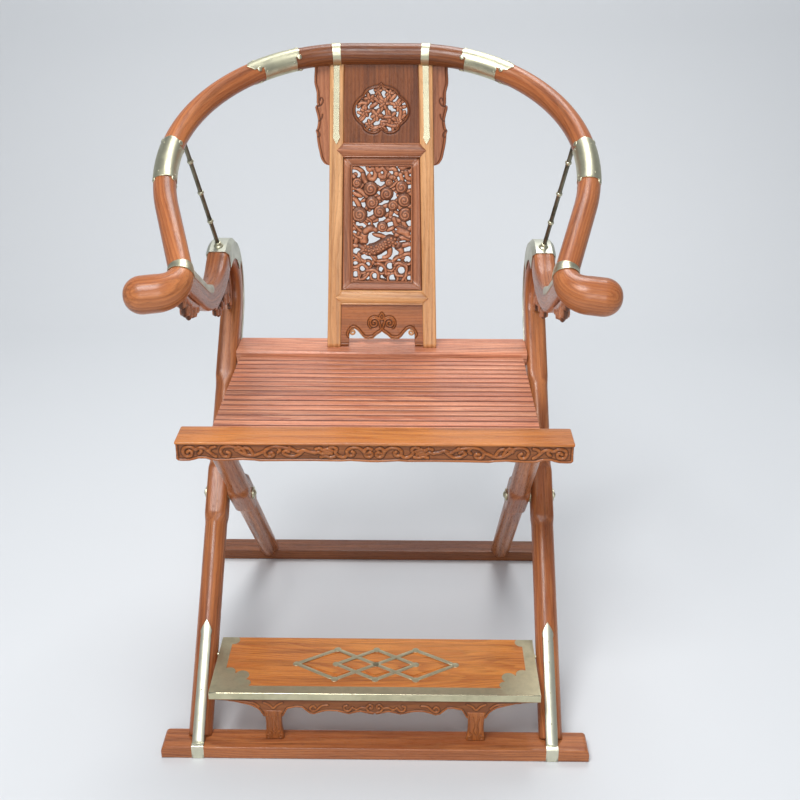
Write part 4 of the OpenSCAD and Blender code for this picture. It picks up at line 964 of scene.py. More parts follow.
# Stems of the medallion
MEDALLION_STEMS = (
    [(-47, -6), (-34, -10), (-20, -4), (-9, -12), (6, -16), (18, -14), (32, -20), (44, -12)],
    [(-38, 26), (-28, 16), (-16, 20), (-4, 12), (8, 10), (22, 8), (34, 2), (48, 4)],
    [(-28, -44), (-24, -28), (-14, -22), (-9, -10), (0, -2), (4, 10), (-2, 22), (-6, 32), (-14, 42)],
    [(22, -44), (20, -28), (12, -18), (10, -4), (6, 8), (12, 20), (18, 30), (16, 42)],
    [(-40, -24), (-32, -14), (-34, 0), (-26, 10), (-24, 22), (-32, 38)],
    [(42, -28), (34, -20), (36, -6), (30, 8), (36, 20), (34, 36)],
    [(-14, 42), (-6, 35), (0, 46), (6, 35), (14, 42)], [(-16, -43), (-6, -34), (4, -36), (12, -43)],
    [(-46, 8), (-36, 10), (-26, 10), (-16, 20)],
    [(-32, -26), (-20, -34), (-6, -34), (6, -28), (20, -32), (34, -30)],
)
# Flowers of the medallion: x, z and radius
MEDALLION_FLOWERS = (
    (-9, -11, 10), (17, -15, 10.5), (5, 9, 9), (-22, 18, 8.5), (31, 4, 8), (-30, -6, 8.5), (15, 28, 7.5),
    (-6, 31, 7), (-22, -28, 7.5), (32, -26, 7), (2, -33, 7),
)
# Leaves of the medallion: x, z and lean
MEDALLION_LEAVES = (
    (-40, 8, 60), (-14, 6, 30), (24, -32, -30), (42, -12, 80), (22, 20, 45), (-32, 32, -40), (6, -24, 0),
    (4, 42, 10), (42, 18, 70), (-40, -20, 50), (-12, -38, 0), (28, 34, 40), (-6, 20, 80),
)
# Right half of the opening round the medallion, from the top cusp down
MEDALLION_OUTLINE = (
    (0, 40.5), (5, 35.6), (13.4, 33.6), (21.7, 30.6), (27.4, 25.4), (29.6, 20.4), (36.8, 15.2), (43.3, 7.4),
    (45.8, -2.3), (44.2, -11.7), (38.5, -20.2), (30.8, -26.6), (27.6, -33.2), (20.2, -38.2), (11.8, -39.2),
    (5, -36.6), (0, -32.4),
)
# Leaves of the apron's right half: distance from the middle and height in the band
APRON_LEAVES = (
    [(4, 6), (10, 8), (15, 3), (13, -5), (7, -7), (3, -3), (6, 1), (9, -1)],
    [(14, -1), (20, 6), (27, 9), (36, 8), (42, 3), (41, -3), (35, -5), (31, -1), (34, 2)],
    [(41, -3), (47, -8), (55, -6), (60, 0), (58, 6), (63, 10), (69, 9)],
    [(65, 3), (72, 6), (79, 4), (84, 8), (90, 6)], [(66, -2), (74, 2), (80, -2), (86, 1), (92, -1)],
    [(62, -7), (69, -8), (76, -6), (83, -8)], [(71, -3), (76, -1), (80, -4)],
    [(92, 0), (100, 1), (109, 4), (118, 1), (125, 4), (136, 8), (150, 10), (161, 8), (169, 2), (168, -6),
     (161, -8), (156, -5), (158, -1), (162, -2)],
    [(109, 4), (116, -3), (124, -7), (134, -6), (141, -1), (137, 3), (132, 1)], [(125, 4), (131, 9)],
    [(150, 10), (146, 4), (149, 0)],
    [(169, 2), (177, -2), (187, -6), (199, -5), (208, 0), (216, 8), (225, 10), (234, 8), (238, 1),
     (234, -7), (227, -8), (224, -3), (228, 0)],
    [(199, -5), (202, 3), (208, 9), (213, 8), (214, 3), (209, 4)],
    [(187, -6), (190, 1), (194, 6), (200, 8)],
    [(246, -8), (252, -4), (257, 1), (263, 6), (270, 7), (277, 4), (283, 8), (290, 8), (296, 4), (296, -4),
     (291, -8), (284, -6), (283, 0), (287, 2), (290, -1)],
    [(257, 1), (252, 7), (246, 9)], [(270, 7), (268, 1), (272, -3)],
)
# Leaves of the skirt's right half: distance from the middle and height
SKIRT_LEAVES = (
    [(3, -19), (9, -18), (13, -13), (9, -8), (4, -9), (4, -13), (8, -13)],
    [(13, -13), (22, -12), (30, -15), (36, -12)], [(36, -12), (42, -17), (48, -16), (50, -11), (45, -9)],
    [(76, -9), (86, -10), (94, -16), (101, -18), (105, -14), (100, -10), (96, -13)],
    [(150, -6), (158, -9), (165, -14), (172, -9), (180, -6)],
    [(188, -12), (196, -7), (208, -5), (220, -4), (236, -3)],
)
# Scrolls in the arch: y, z, radius, start angle and way of the spiral
NECK_SCROLLS = (
    (-96, 2, 9, 90, 1), (-72, -6, 11, 60, -1), (-44, -4, 12, 100, 1), (-14, -4, 13, 80, -1),
    (18, -12, 13, 60, 1), (38, -26, 9, 40, -1),
)
# Leaves in the arch: y, z, half length, half width and lean
NECK_LEAVES = (
    (-60, 14, 22, 10, 15), (-28, 22, 24, 16, 10), (4, 16, 26, 22, 0), (28, 0, 18, 22, -30),
    (-86, 12, 16, 7, 5),
)
# Scrolls behind the arm curl: along, below, radius, start angle and way
CURL_SCROLLS = (
    (40, 30, 9, 200, 1), (62, 38, 11, 220, -1), (88, 44, 13, 200, 1), (114, 44, 13, 250, -1),
    (138, 38, 11, 230, 1), (158, 30, 8, 260, -1),
)
# Curls scored in the wing: distance from its root and height
WING_CURLS = (
    [(23.4, 953.5), (19.5, 951.5), (14.5, 954), (11.6, 960), (13, 965.5), (16.4, 965), (16.6, 961.5)],
    [(24, 911), (20, 908), (17, 903), (18.4, 898.6), (21, 899.5)],
    [(22.2, 926), (17.5, 927), (13.4, 932), (12.4, 938)],
)


@dataclass
class Carving:
    """A pierced carving as it grows: overlapping shells, the strokes that chisel them, round bosses."""

    shells: list[Shell] = field(default_factory=list)
    strokes: list[Stroke] = field(default_factory=list)
    bosses: list[Boss] = field(default_factory=list)

    def stem(self, points: Points, width: Sequence[float] = (3.4, 5.6, 4.4), depth: float = 3.8,
             at: float = -0.6) -> None:
        """Adds a rounded stem, and the stroke that keeps its back high.

        Args:
            points: The stem's line, flat x and z.
            width: Half widths, spread evenly along it.
            depth: Half its depth.
            at: Depth of its middle.
        """
        line = curve_through(points, 7)
        self.shells.append(carved_line(line, width, depth, at, 14))
        self.strokes.append((line, 0.92 * max(width), 1.0))

    def roundel(self, x: float, z: float, r: float, start: float, way: int) -> None:
        """Adds a low dome with a raised spiral and a bead in its eye.

        Args:
            x, z: Its middle.
            r: Its radius.
            start, way: Start angle and way of the spiral.
        """
        self.shells.append(ball((x, -0.6, z), (1.12 * r, 5.4, 1.12 * r), n=9))
        coil = (spiral(x, z, r * 0.88, 0.9 + r / 15, start, way), 1.7, 1.0)
        eye = (np.array([(x - 0.5, z), (x + 0.5, z)]), 2.2, 1.0)
        self.bosses.append((x, z, r, [coil, eye]))

    def leaf(self, centre: Sequence[float], radii: Sequence[float], lean: float, n: int, reach: float,
             wide: float) -> None:
        """Adds a leaf under all that was carved before it.

        Args:
            centre, radii, lean, n: As for ball.
            reach: Half the length of its stroke.
            wide: Half the width of its stroke.
        """
        self.shells.append(ball(centre, radii, lean, n))
        self.strokes.insert(0, (span((centre[0], centre[2]), lean, reach), wide, 1.0))

    def settled(self, scale: float, z: float) -> tuple[Shell, list[Stroke], list[Boss]]:
        """The carving at its size and height on the splat.

        Args:
            scale: Factor on x and z.
            z: Height of its middle.

        Returns:
            The joined shells, the strokes and the bosses.
        """
        shell = joined(self.shells).mapped(lambda p: p * np.array([scale, 1.0, scale])
                                           + np.array([0, 0, z]))
        strokes = [(line * scale + np.array([0, z]), w, h) for line, w, h in self.strokes]
        bosses = [(x * scale, y * scale + z, r * scale,
                   [(line * scale + np.array([0, z]), w, h) for line, w, h in own])
                  for x, y, r, own in self.bosses]
        return shell, strokes, bosses


# Sub-assemblies


@dataclass
class Layout:
    """Sizes that several sub-assemblies share, in millimetres and degrees."""

    runner_length: float = 700.0
    runner_depth: float = 46.0
    runner_height: float = 24.0
    foot_y: float = 297.5
    foot_z: float = 12.0
    pivot_y: float = 9.5
    pivot_z: float = 314.0
    arm_x: float = 290.0
    arm_radius: float = 19.5
    cross_x: float = 247.5
    cross_radius: float = 19.0
    seat_z: float = 522.0
    rail_thick: float = 27.0

    @property
    def arm_dir(self) -> np.ndarray:
        """Unit vector up an arm leg."""
        v = np.array([0.0, self.pivot_y + self.foot_y, self.pivot_z - self.foot_z])
        return v / np.linalg.norm(v)

    @property
    def cross_dir(self) -> np.ndarray:
        """Unit vector up a cross leg."""
        v = np.array([0.0, self.pivot_y - self.foot_y, self.pivot_z - self.foot_z])
        return v / np.linalg.norm(v)

    @property
    def pivot(self) -> np.ndarray:
        """The folding pivot in the middle plane."""
        return np.array([0.0, self.pivot_y, self.pivot_z])

    @property
    def leg_run(self) -> float:
        """Distance along a leg from its foot to the pivot."""
        return math.hypot(self.pivot_y + self.foot_y, self.pivot_z - self.foot_z)

    @property
    def arm_foot(self) -> np.ndarray:
        """Where the right arm leg's axis meets the runner."""
        return self.pivot - self.arm_dir * self.leg_run + np.array([self.arm_x, 0, 0])

    @property
    def arm_front(self) -> np.ndarray:
        """Unit vector out of an arm leg's front, square to the leg."""
        d = self.arm_dir
        return np.array([0.0, -d[2], d[1]])


@dataclass
class Base:
    """The two ground runners."""

    lay: Layout
    end_round: float = 8.0
    inset: float = 0.45

    def runner(self, y: float) -> Shell:
        """A bar along x: a rounded rectangle whose top falls in a quarter circle at each end.

        Args:
            y: Depth of its axis.

        Returns:
            The shell.
        """
        half = self.lay.runner_length / 2
        d, h = self.lay.runner_depth / 2 - self.inset, self.lay.runner_height - self.inset
        t = np.linspace(0, 1, 14)
        end = half - self.end_round * np.cos(t * math.pi / 2)
        x = np.concatenate([-end[::-1], np.linspace(-half + 10, half - 10, 60), end])
        drop = np.clip((np.abs(x) - (half - self.end_round)) / self.end_round, 0, 1)
        top = h - self.end_round * (1 - np.sqrt(1 - drop**2 * 0.9999))
        ring = oval(np.full_like(x, d), np.ones_like(x), 14.0, 48)
        section = np.stack([ring[..., 0], (ring[..., 1] + 1) / 2 * top[:, None]], -1)
        path = np.stack([x, np.full_like(x, y), np.zeros_like(x)], 1)
        return carried(path, Y_AXIS, Z_AXIS, section)

    def build(self, shop: Workshop) -> None:
        """Makes both runners."""
        # The rear runner takes the darker rosewood as painted shade.
        for name, y, body, finish in (("front_runner", -self.lay.foot_y, Body.ARM_FRAME, ROSEWOOD),
                                      ("rear_runner", self.lay.foot_y, Body.CROSS_FRAME, SHADED_ROSEWOOD)):
            shop.make(name + "_wood", self.runner(y), shop.palette.wood(finish), Slot.RED_WOOD, body,
                      [name])


@dataclass
class Legs:
    """The arm legs with their bent, squared tops and the straight cross legs."""

    lay: Layout
    swell_depth: float = 23.0
    swell_half: float = 58.0
    swell_run: float = 18.0
    square_from: float = 205.0
    bend_from: float = 354.0
    bend_radius: float = 82.0
    bend_end: float = 120.0
    dip_radius: float = 170.0
    dip_turn: float = 60.0
    stem_depth: float = 22.0
    tip_half: float = 12.0
    squareness: float = 4.4
    slim_from: float = 151.4
    slim_to: float = -6.6
    swell_side: float = 0.2

    @property
    def bend_centre(self) -> tuple[float, float]:
        """Centre of the goose-neck bend in y and z."""
        d = self.lay.arm_dir
        return (self.lay.pivot_y + self.bend_from * d[1] - self.bend_radius * d[2],
                self.lay.pivot_z + self.bend_from * d[2] + self.bend_radius * d[1])

    def branch_path(self) -> np.ndarray:
        """The arm leg's axis in y and z with its heading: straight, bend, dip and straight tip.

        Returns:
            Stations by (y, z, heading in radians, distance above the pivot).
        """
        d = self.lay.arm_dir
        a = math.atan2(d[2], d[1])
        s = np.arange(-self.lay.leg_run - 2 + 14, self.bend_from, 4.0)
        rows = [np.stack([self.lay.pivot_y + s * d[1], self.lay.pivot_z + s * d[2], np.full_like(s, a), s],
                         1)]
        cy, cz = self.bend_centre
        t = np.linspace(a - math.pi / 2, math.radians(self.bend_end), 64)
        run = self.bend_from + self.bend_radius * (t - t[0])
        rows.append(np.stack([cy + self.bend_radius * np.cos(t), cz + self.bend_radius * np.sin(t),
                              t + math.pi / 2, run], 1))
        reach = self.bend_radius + self.dip_radius
        e = math.radians(self.bend_end)
        dy, dz = cy + reach * math.cos(e), cz + reach * math.sin(e)
        t = np.linspace(e + math.pi, e + math.pi - math.radians(self.dip_turn), 50)[1:]
        run = rows[-1][-1, 3] + self.dip_radius * np.abs(t - e - math.pi)
        rows.append(np.stack([dy + self.dip_radius * np.cos(t), dz + self.dip_radius * np.sin(t),
                              t - math.pi / 2, run], 1))
        last = rows[-1][-1]
        slope = math.tan(math.radians(30))
        c, z = math.cos(last[2]), math.sin(last[2])
        length = (1040 - last[1] - (278 - last[0]) * slope) / (z - c * slope) - 4
        s = np.arange(3.0, length, 3.0)
        rows.append(np.stack([last[0] + s * c, last[1] + s * z, np.full_like(s, last[2]), last[3] + s], 1))
        return np.vstack(rows)

    def slimmed(self, y: np.ndarray) -> np.ndarray:
        """How far the branch has slimmed: evenly from 0 at the bend to 1 at its tip."""
        return np.clip((self.slim_from - y) / (self.slim_from - self.slim_to), 0, 1)

    def half_width(self, swell: np.ndarray, slim: np.ndarray) -> np.ndarray:
        """Half the width of the arm leg: its radius, a hair more where squared, less where slimmed."""
        loss = (self.lay.arm_radius + 0.25 - self.tip_half) * slim
        return self.lay.arm_radius + self.swell_side * swell - loss

    def arm_leg(self) -> Shell:
        """The right arm leg: round below, squared at the pivot and from the seat to the tip."""
        p = self.branch_path()
        s = p[:, 3]
        at_pivot = smoothstep((self.swell_half - np.abs(s)) / self.swell_run)
        above = smoothstep((s - self.square_from) / 26)
        square = np.maximum(at_pivot, above)
        depth = self.lay.arm_radius + (self.swell_depth - self.lay.arm_radius) * at_pivot
        depth = depth + (self.stem_depth - self.lay.arm_radius) * above
        past_bend = s > self.bend_from + 150
        width = self.half_width(square, self.slimmed(p[:, 0]) * past_bend)
        power = 2 + (self.squareness - 2) * square
        path = np.stack([np.full_like(s, self.lay.arm_x), p[:, 0], p[:, 1]], 1)
        across = np.stack([np.zeros_like(s), -np.sin(p[:, 2]), np.cos(p[:, 2])], 1)
        return carried(path, X_AXIS, across, oval(width, depth, power, 56))

    def cross_leg(self) -> Shell:
        """The right cross leg: round, squared and deeper at the pivot, its ends inside the rails."""
        d = self.lay.cross_dir
        low = -(self.lay.pivot_z - 14) / d[2]
        high = (self.lay.seat_z - self.lay.rail_thick + 8 - self.lay.pivot_z) / d[2]
        s = np.arange(low, high, 4.0)
        near = smoothstep((self.swell_half - np.abs(s)) / self.swell_run)
        r = self.lay.cross_radius
        path = self.lay.pivot + s[:, None] * d + np.array([self.lay.cross_x, 0, 0])
        across = np.array([0.0, -d[2], d[1]])
        rings = oval(r + self.swell_side * near, r + (self.swell_depth - r) * near,
                     2 + (self.squareness - 2) * near, 56)
        return carried(path, X_AXIS, across, rings)

    def build(self, shop: Workshop) -> None:
        """Makes the four legs."""
        wood = shop.palette.wood(ROSEWOOD)
        for kind, shell, body in (("arm_leg", self.arm_leg(), Body.ARM_FRAME),
                                  ("cross_leg", self.cross_leg(), Body.CROSS_FRAME)):
            for side, made in (("right", shell), ("left", shell.mirrored())):
                shop.make(f"{kind}_{side}_wood", made, wood, Slot.RED_WOOD, body, [f"{kind}_{side}"])


@dataclass
class Horseshoe:
    """The sloping round rail: crest, shoulders and arms with curled ends, and its brass."""

    rise: float = 1040.0
    back: float = 278.0
    slope: float = 30.0
    radius: float = 18.0
    straight: float = 52.75
    shoulder_radius: float = 282.4
    shoulder_turn: float = 85.3
    arm_radius: float = 326.0
    arm_turn: float = 21.1
    arm_straight: float = 136.0
    curl_radius: float = 36.0
    curl_turn: float = 98.0
    curl_end: float = 28.5
    curl_reach: float = 20.0
    crest_joint: float = 28.1
    crest_cover: float = 10.0
    sleeve_up: float = 5.0
    sleeve_down: float = 12.0
    band_turn: float = 1.5
    band_at: float = 77.5
    sheet: float = 1.2

    def __post_init__(self) -> None:
        """Samples the axis of the right half: plane point, heading and distance from the middle."""
        rows = [(np.linspace(0, self.straight, 12), np.zeros(12), np.zeros(12))]
        for cx, cy, r, h0, h1 in self._arcs():
            h = np.radians(np.linspace(h0, h1, max(int(abs(h1 - h0) * 1.4), 8)))
            rows.append((cx + r * np.sin(h), cy - r * np.cos(h), h))
        x, y, h = rows[-1][0][-1], rows[-1][1][-1], rows[-1][2][-1]
        s = np.linspace(0, self.arm_straight, 40)
        rows.append((x + s * np.cos(h), y + s * np.sin(h), np.full(40, h)))
        x, y = rows[-1][0][-1], rows[-1][1][-1]
        cx, cy = x + self.curl_radius * math.sin(h), y - self.curl_radius * math.cos(h)
        t = np.linspace(h, h - math.radians(self.curl_turn), 48)
        rows.append((cx - self.curl_radius * np.sin(t), cy + self.curl_radius * np.cos(t), t))
        x, y, e = rows[-1][0][-1], rows[-1][1][-1], t[-1]
        s = np.linspace(0, self.curl_reach, 8)
        rows.append((x + s * math.cos(e), y + s * math.sin(e), np.full(8, e)))
        flat = np.stack([np.concatenate([r[i] for r in rows]) for i in range(3)], 1)
        keep = np.concatenate([[True], np.linalg.norm(np.diff(flat[:, :2], axis=0), axis=1) > 1e-6])
        self.axis = flat[keep]
        self.run = np.concatenate([[0],
                                   np.cumsum(np.linalg.norm(np.diff(self.axis[:, :2], axis=0), axis=1))])
        d = math.radians
        self.s_shoulder = self.straight + self.shoulder_radius * d(self.shoulder_turn)
        self.s_arm = self.s_shoulder + self.arm_radius * d(self.arm_turn)
        self.s_curl = self.s_arm + self.arm_straight
        self.s_end = self.run[-1]

    def _arcs(self) -> list[tuple[float, float, float, float, float]]:
        """Centre, radius and headings of the shoulder and of the arm."""
        h = math.radians(self.shoulder_turn)
        ax = self.straight + (self.shoulder_radius - self.arm_radius) * math.sin(h)
        ay = self.shoulder_radius - (self.shoulder_radius - self.arm_radius) * math.cos(h)
        end = self.shoulder_turn + self.arm_turn
        return [(self.straight, self.shoulder_radius, self.shoulder_radius, 0, self.shoulder_turn),
                (ax, ay, self.arm_radius, self.shoulder_turn, end)]

    def heading_run(self, heading: float) -> float:
        """Distance from the middle at a heading on the shoulder."""
        return self.straight + self.shoulder_radius * math.radians(heading)

    def place(self, s: np.ndarray) -> tuple[np.ndarray, np.ndarray, np.ndarray]:
        """Places on the rail's axis.

        Args:
            s: Distances from the middle of the crest, negative on the left.

        Returns:
            The points, the side vector of each in the rail's plane, and the plane's normal.
        """
        a = np.abs(s)
        x, y, h = (np.interp(a, self.run, self.axis[:, i]) for i in range(3))
        c, t = math.cos(math.radians(self.slope)), math.sin(math.radians(self.slope))
        point = np.stack([np.sign(s) * x, self.back - y * c, self.rise - y * t], 1)
        side = np.stack([np.sign(s) * np.sin(h), np.cos(h) * c, np.cos(h) * t], 1)
        side[s == 0] = (0.0, c, t)
        return point, side, np.array([0.0, t, -c])

    def rail(self, s0: float, s1: float, step: float = 5.0) -> Shell:
        """A round length of rail between two distances.

        Args:
            s0, s1: Distances of its ends from the middle of the crest.
            step: Greatest distance between stations.

        Returns:
            The shell.
        """
        s = np.linspace(s0, s1, int((s1 - s0) / step) + 2)
        s[np.abs(s) < 1e-6] = 1e-6
        p, u, v = self.place(s)
        return carried(p, u, v, oval(np.full_like(s, self.radius), self.radius, 2.0, 48))

    def swell(self, s: np.ndarray) -> np.ndarray:
        """How far the curl has swelled at distances s: eased from 0 to 1."""
        t = np.clip((s - self.s_curl) / (self.s_end - self.s_curl - self.curl_reach), 0, 1)
        return smoothstep(t * 0.96 + 0.02) ** 0.8

    def thick(self, s: np.ndarray) -> np.ndarray:
        """Radius of the rail at distances s: constant, then swelling through the curl."""
        return self.radius + (self.curl_end - self.radius) * np.where(s > self.s_curl, self.swell(s), 0.0)

    def arm(self) -> Shell:
        """An arm: round, then swelling through the curl to a bulb that ends in half an ellipsoid."""
        s = np.concatenate([np.linspace(self.s_shoulder, self.s_curl, 60),
                            np.linspace(self.s_curl, self.s_end, 50)[1:]])
        r = self.radius + (self.curl_end - self.radius) * self.swell(s)
        p, u, v = self.place(s)
        q = np.linspace(0, 1, 22)[1:] * math.pi / 2
        tip = self.curl_end * 0.985 * np.sin(q)
        h = self.axis[-1, 2]
        c, k = math.cos(math.radians(self.slope)), math.sin(math.radians(self.slope))
        ahead = np.array([math.cos(h), -math.sin(h) * c, -math.sin(h) * k])
        p = np.vstack([p, p[-1] + tip[:, None] * ahead])
        u = np.vstack([u, np.repeat(u[-1:], len(q), 0)])
        r = np.concatenate([r, np.maximum(r[-1] * np.cos(q) ** 0.92, 0.15)])
        return carried(p, u, v, oval(r, r * 0.985, 2.0, 56))

    def sleeve(self, s0: float, s1: float, tongues: tuple[float, float] = (0.0, 0.0),
               spread: float = 46.0) -> Shell:
        """A brass sleeve whose ends run out in a pointed cloud tongue on the top and the under side.

        With q the angle from the tongue's middle over its half spread, the end lies
        reach (0.42 (1-q)^1.2 + 0.58 step(0.9-q)) beyond the straight part. A closed loop of
        (distance, radius) pairs is carried round the axis.

        Args:
            s0, s1: Distances of the two tips from the middle of the crest.
            tongues: Reach of the tongues at either end.
            spread: Half the angle that a tongue spans at its root.

        Returns:
            The sheet, closed all round.
        """
        m = 120
        a = np.linspace(0, TAU, m, endpoint=False)
        away = np.degrees(np.arccos(np.abs(np.sin(a))))
        q = np.clip(away / spread, 0, 1)
        tip = 0.42 * (1 - q) ** 1.2 + 0.58 * smoothstep((0.9 - q) / 0.10)
        notch = np.exp(-(((q - 0.93) / 0.07) ** 2)) * 0.16
        start = s0 + tongues[0] * (1 - tip + notch)
        stop = s1 - tongues[1] * (1 - tip + notch)
        r0, r1 = 0.1, self.sheet
        f = np.concatenate([[0, 0.002], np.linspace(0.01, 0.99, 30), [0.998, 1, 1, 0.5, 0]])
        r = np.concatenate([[r1 - 0.4, r1 - 0.1], np.full(30, r1), [r1 - 0.1, r1 - 0.4, r0, r0, r0]])
        s = start[None, :] + f[:, None] * (stop - start)[None, :]
        p, u, v = self.place(s.ravel())
        ring = np.stack([np.cos(a), np.sin(a)], 1)
        ring = ring[None] * (r[:, None] + self.thick(s))[..., None]
        pts = p.reshape(len(f), m, 3) + ring[..., :1] * u.reshape(len(f), m, 3) + ring[..., 1:] * v
        return skin(pts, pts, loop=True)

    def studs(self, s: float, angles: np.ndarray, profile: Points, off: float, m: int) -> list[Shell]:
        """Small turned shapes that stand on the rail at one distance.

        Args:
            s: Distance from the middle of the crest.
            angles: Where they stand round the rail, in radians.
            profile: Pairs of height and radius.
            off: Height of their foot over the wood.
            m: Points on a ring.

        Returns:
            One shell for each angle.
        """
        p, u, v = self.place(np.array([s]))
        ways = [u[0] * math.cos(a) + v * math.sin(a) for a in angles]
        return [lathe(profile, p[0] + way * (self.radius + off), way, m) for way in ways]

    def curls(self, s: float, spread: float) -> list[Shell]:
        """Round curls of sheet at the roots of the tongues, one on each edge of both tongues."""
        angles = np.radians([-90 - spread, -90 + spread, 90 - spread, 90 + spread])
        return self.studs(s, angles, SHEET_CURL, 0.0, 16)

    def nails(self, s: float) -> list[Shell]:
        """Small round nail heads round the rail at one distance."""
        angles = np.linspace(0, TAU, 4, endpoint=False) + 0.4
        return self.studs(s, angles, NAIL_HEAD, self.sheet, 10)

    def build(self, shop: Workshop) -> None:
        """Makes the five lengths of wood and all their brass.

        Args:
            shop: Dresses the pieces.
        """
        wood, brass = shop.palette.wood(ROSEWOOD), shop.palette.metal(BRASS)
        joint = self.heading_run(self.crest_joint)
        crest = self.rail(-joint, joint)
        shop.make("crest_wood", crest, shop.palette.wood(SHADED_ROSEWOOD), Slot.RED_WOOD, stands_for=["crest_rail"])
        shoulder, arm = self.rail(joint, self.s_shoulder), self.arm()
        for side, a, b in (("right", shoulder, arm), ("left", shoulder.mirrored(), arm.mirrored())):
            shop.make(f"shoulder_{side}_wood", a, wood, Slot.RED_WOOD, stands_for=[f"shoulder_rail_{side}"])
            nodes = [f"arm_rail_{side}", f"arm_curl_{side}"]
            shop.make(f"arm_{side}_wood", b, wood, Slot.RED_WOOD, stands_for=nodes)
        half = self.shoulder_radius * math.radians(self.crest_cover)
        crest_sleeve = [self.sleeve(joint - half, joint + half, (9.0, 25.0))]
        low = self.s_shoulder - self.shoulder_radius * math.radians(self.sleeve_up)
        high = self.s_shoulder + self.arm_radius * math.radians(self.sleeve_down)
        shoulder_sleeve = [self.sleeve(low, high, (11.0, 6.0), 62.0)]
        for s in (joint - half + 15, joint + half - 31):
            crest_sleeve += self.nails(s)
        for s in (low + 17, high - 12):
            shoulder_sleeve += self.nails(s)
        crest_sleeve += self.curls(joint - half + 3.4, 42.0) + self.curls(joint + half - 18.4, 42.0)
        shoulder_sleeve += self.curls(low + 5.4, 57.0) + self.curls(high - 1.4, 57.0)
        ring = [self.sleeve(self.s_curl - 4.0, self.s_curl + 11.0)]
        band = self.heading_run(math.degrees(math.asin((self.band_at
                                                        - self.straight) / self.shoulder_radius)))
        width = self.shoulder_radius * math.radians(self.band_turn)
        bands = [self.sleeve(band - width, band + width)]
        for name, shells, node in (("crest_sleeve_brass", crest_sleeve, "crest_sleeves"),
                                   ("shoulder_sleeve_brass", shoulder_sleeve, "shoulder_sleeves"),
                                   ("arm_ring_brass", ring, "arm_rings"),
                                   ("crest_band_brass", bands, "crest_bands")):
            shop.make(name, both_sides(shells), brass, Slot.PALE_BRASS, stands_for=[node])


@dataclass
class BraceRods:
    """The slim rods from the bends to the shoulders, with their collars and feet."""

    lay: Layout
    rod: float = 3.7
    heading: float = 74.0
    foot_angle: float = 104.0
    collars: tuple[float, float, float] = (0.25, 0.53, 0.82)

    def build(self, shop: Workshop, shoe: Horseshoe, legs: Legs) -> None:
        """Makes the rods, their collars and flanges.

        Args:
            shop: Dresses the pieces.
            shoe: The rail that the rods run up to.
            legs: The legs, for the branch and its bend.
        """
        top, _, _ = shoe.place(np.array([shoe.heading_run(self.heading)]))
        cy, cz = legs.bend_centre
        a = math.radians(self.foot_angle)
        reach = legs.bend_radius + legs.stem_depth + 1.4
        foot = np.array([self.lay.arm_x, cy + reach * math.cos(a), cz + reach * math.sin(a)])
        axis = top[0] - foot
        length = float(np.linalg.norm(axis)) - 6
        s = np.linspace(2, length, 90)
        r = np.full_like(s, self.rod)
        for f in self.collars:
            r += 0.5 * np.exp(-(((s - f * (length - 12)) / 5.0) ** 2))
        rod = lathe(np.stack([s, r], 1), foot, axis, 24)
        bronze, pale = shop.palette.metal(BRONZE), shop.palette.metal(BRASS)
        shop.make("brace_rod_bronze", both_sides([rod]), bronze, Slot.DARK_ROD, stands_for=["brace_rods"])
        t = np.linspace(-1, 1, 17)
        bulge = 1.8 * np.sqrt(np.clip(1 - t**2, 0.02, 1)) * (1 + 0.1 * np.cos(9 * t))
        rings = [np.stack([f * (length - 12) + 3 * t, self.rod + bulge], 1) for f in self.collars]
        brass = [lathe(profile, foot, axis, 28) for profile in rings]
        up = np.array([0.0, math.cos(a), math.sin(a)])
        brass.append(lathe(ROD_FLANGE, foot, up * 0.45 + axis / length * 0.55, 32))
        shop.make("rod_collar_brass", both_sides(brass), pale, Slot.PALE_BRASS, stands_for=["rod_collars"])


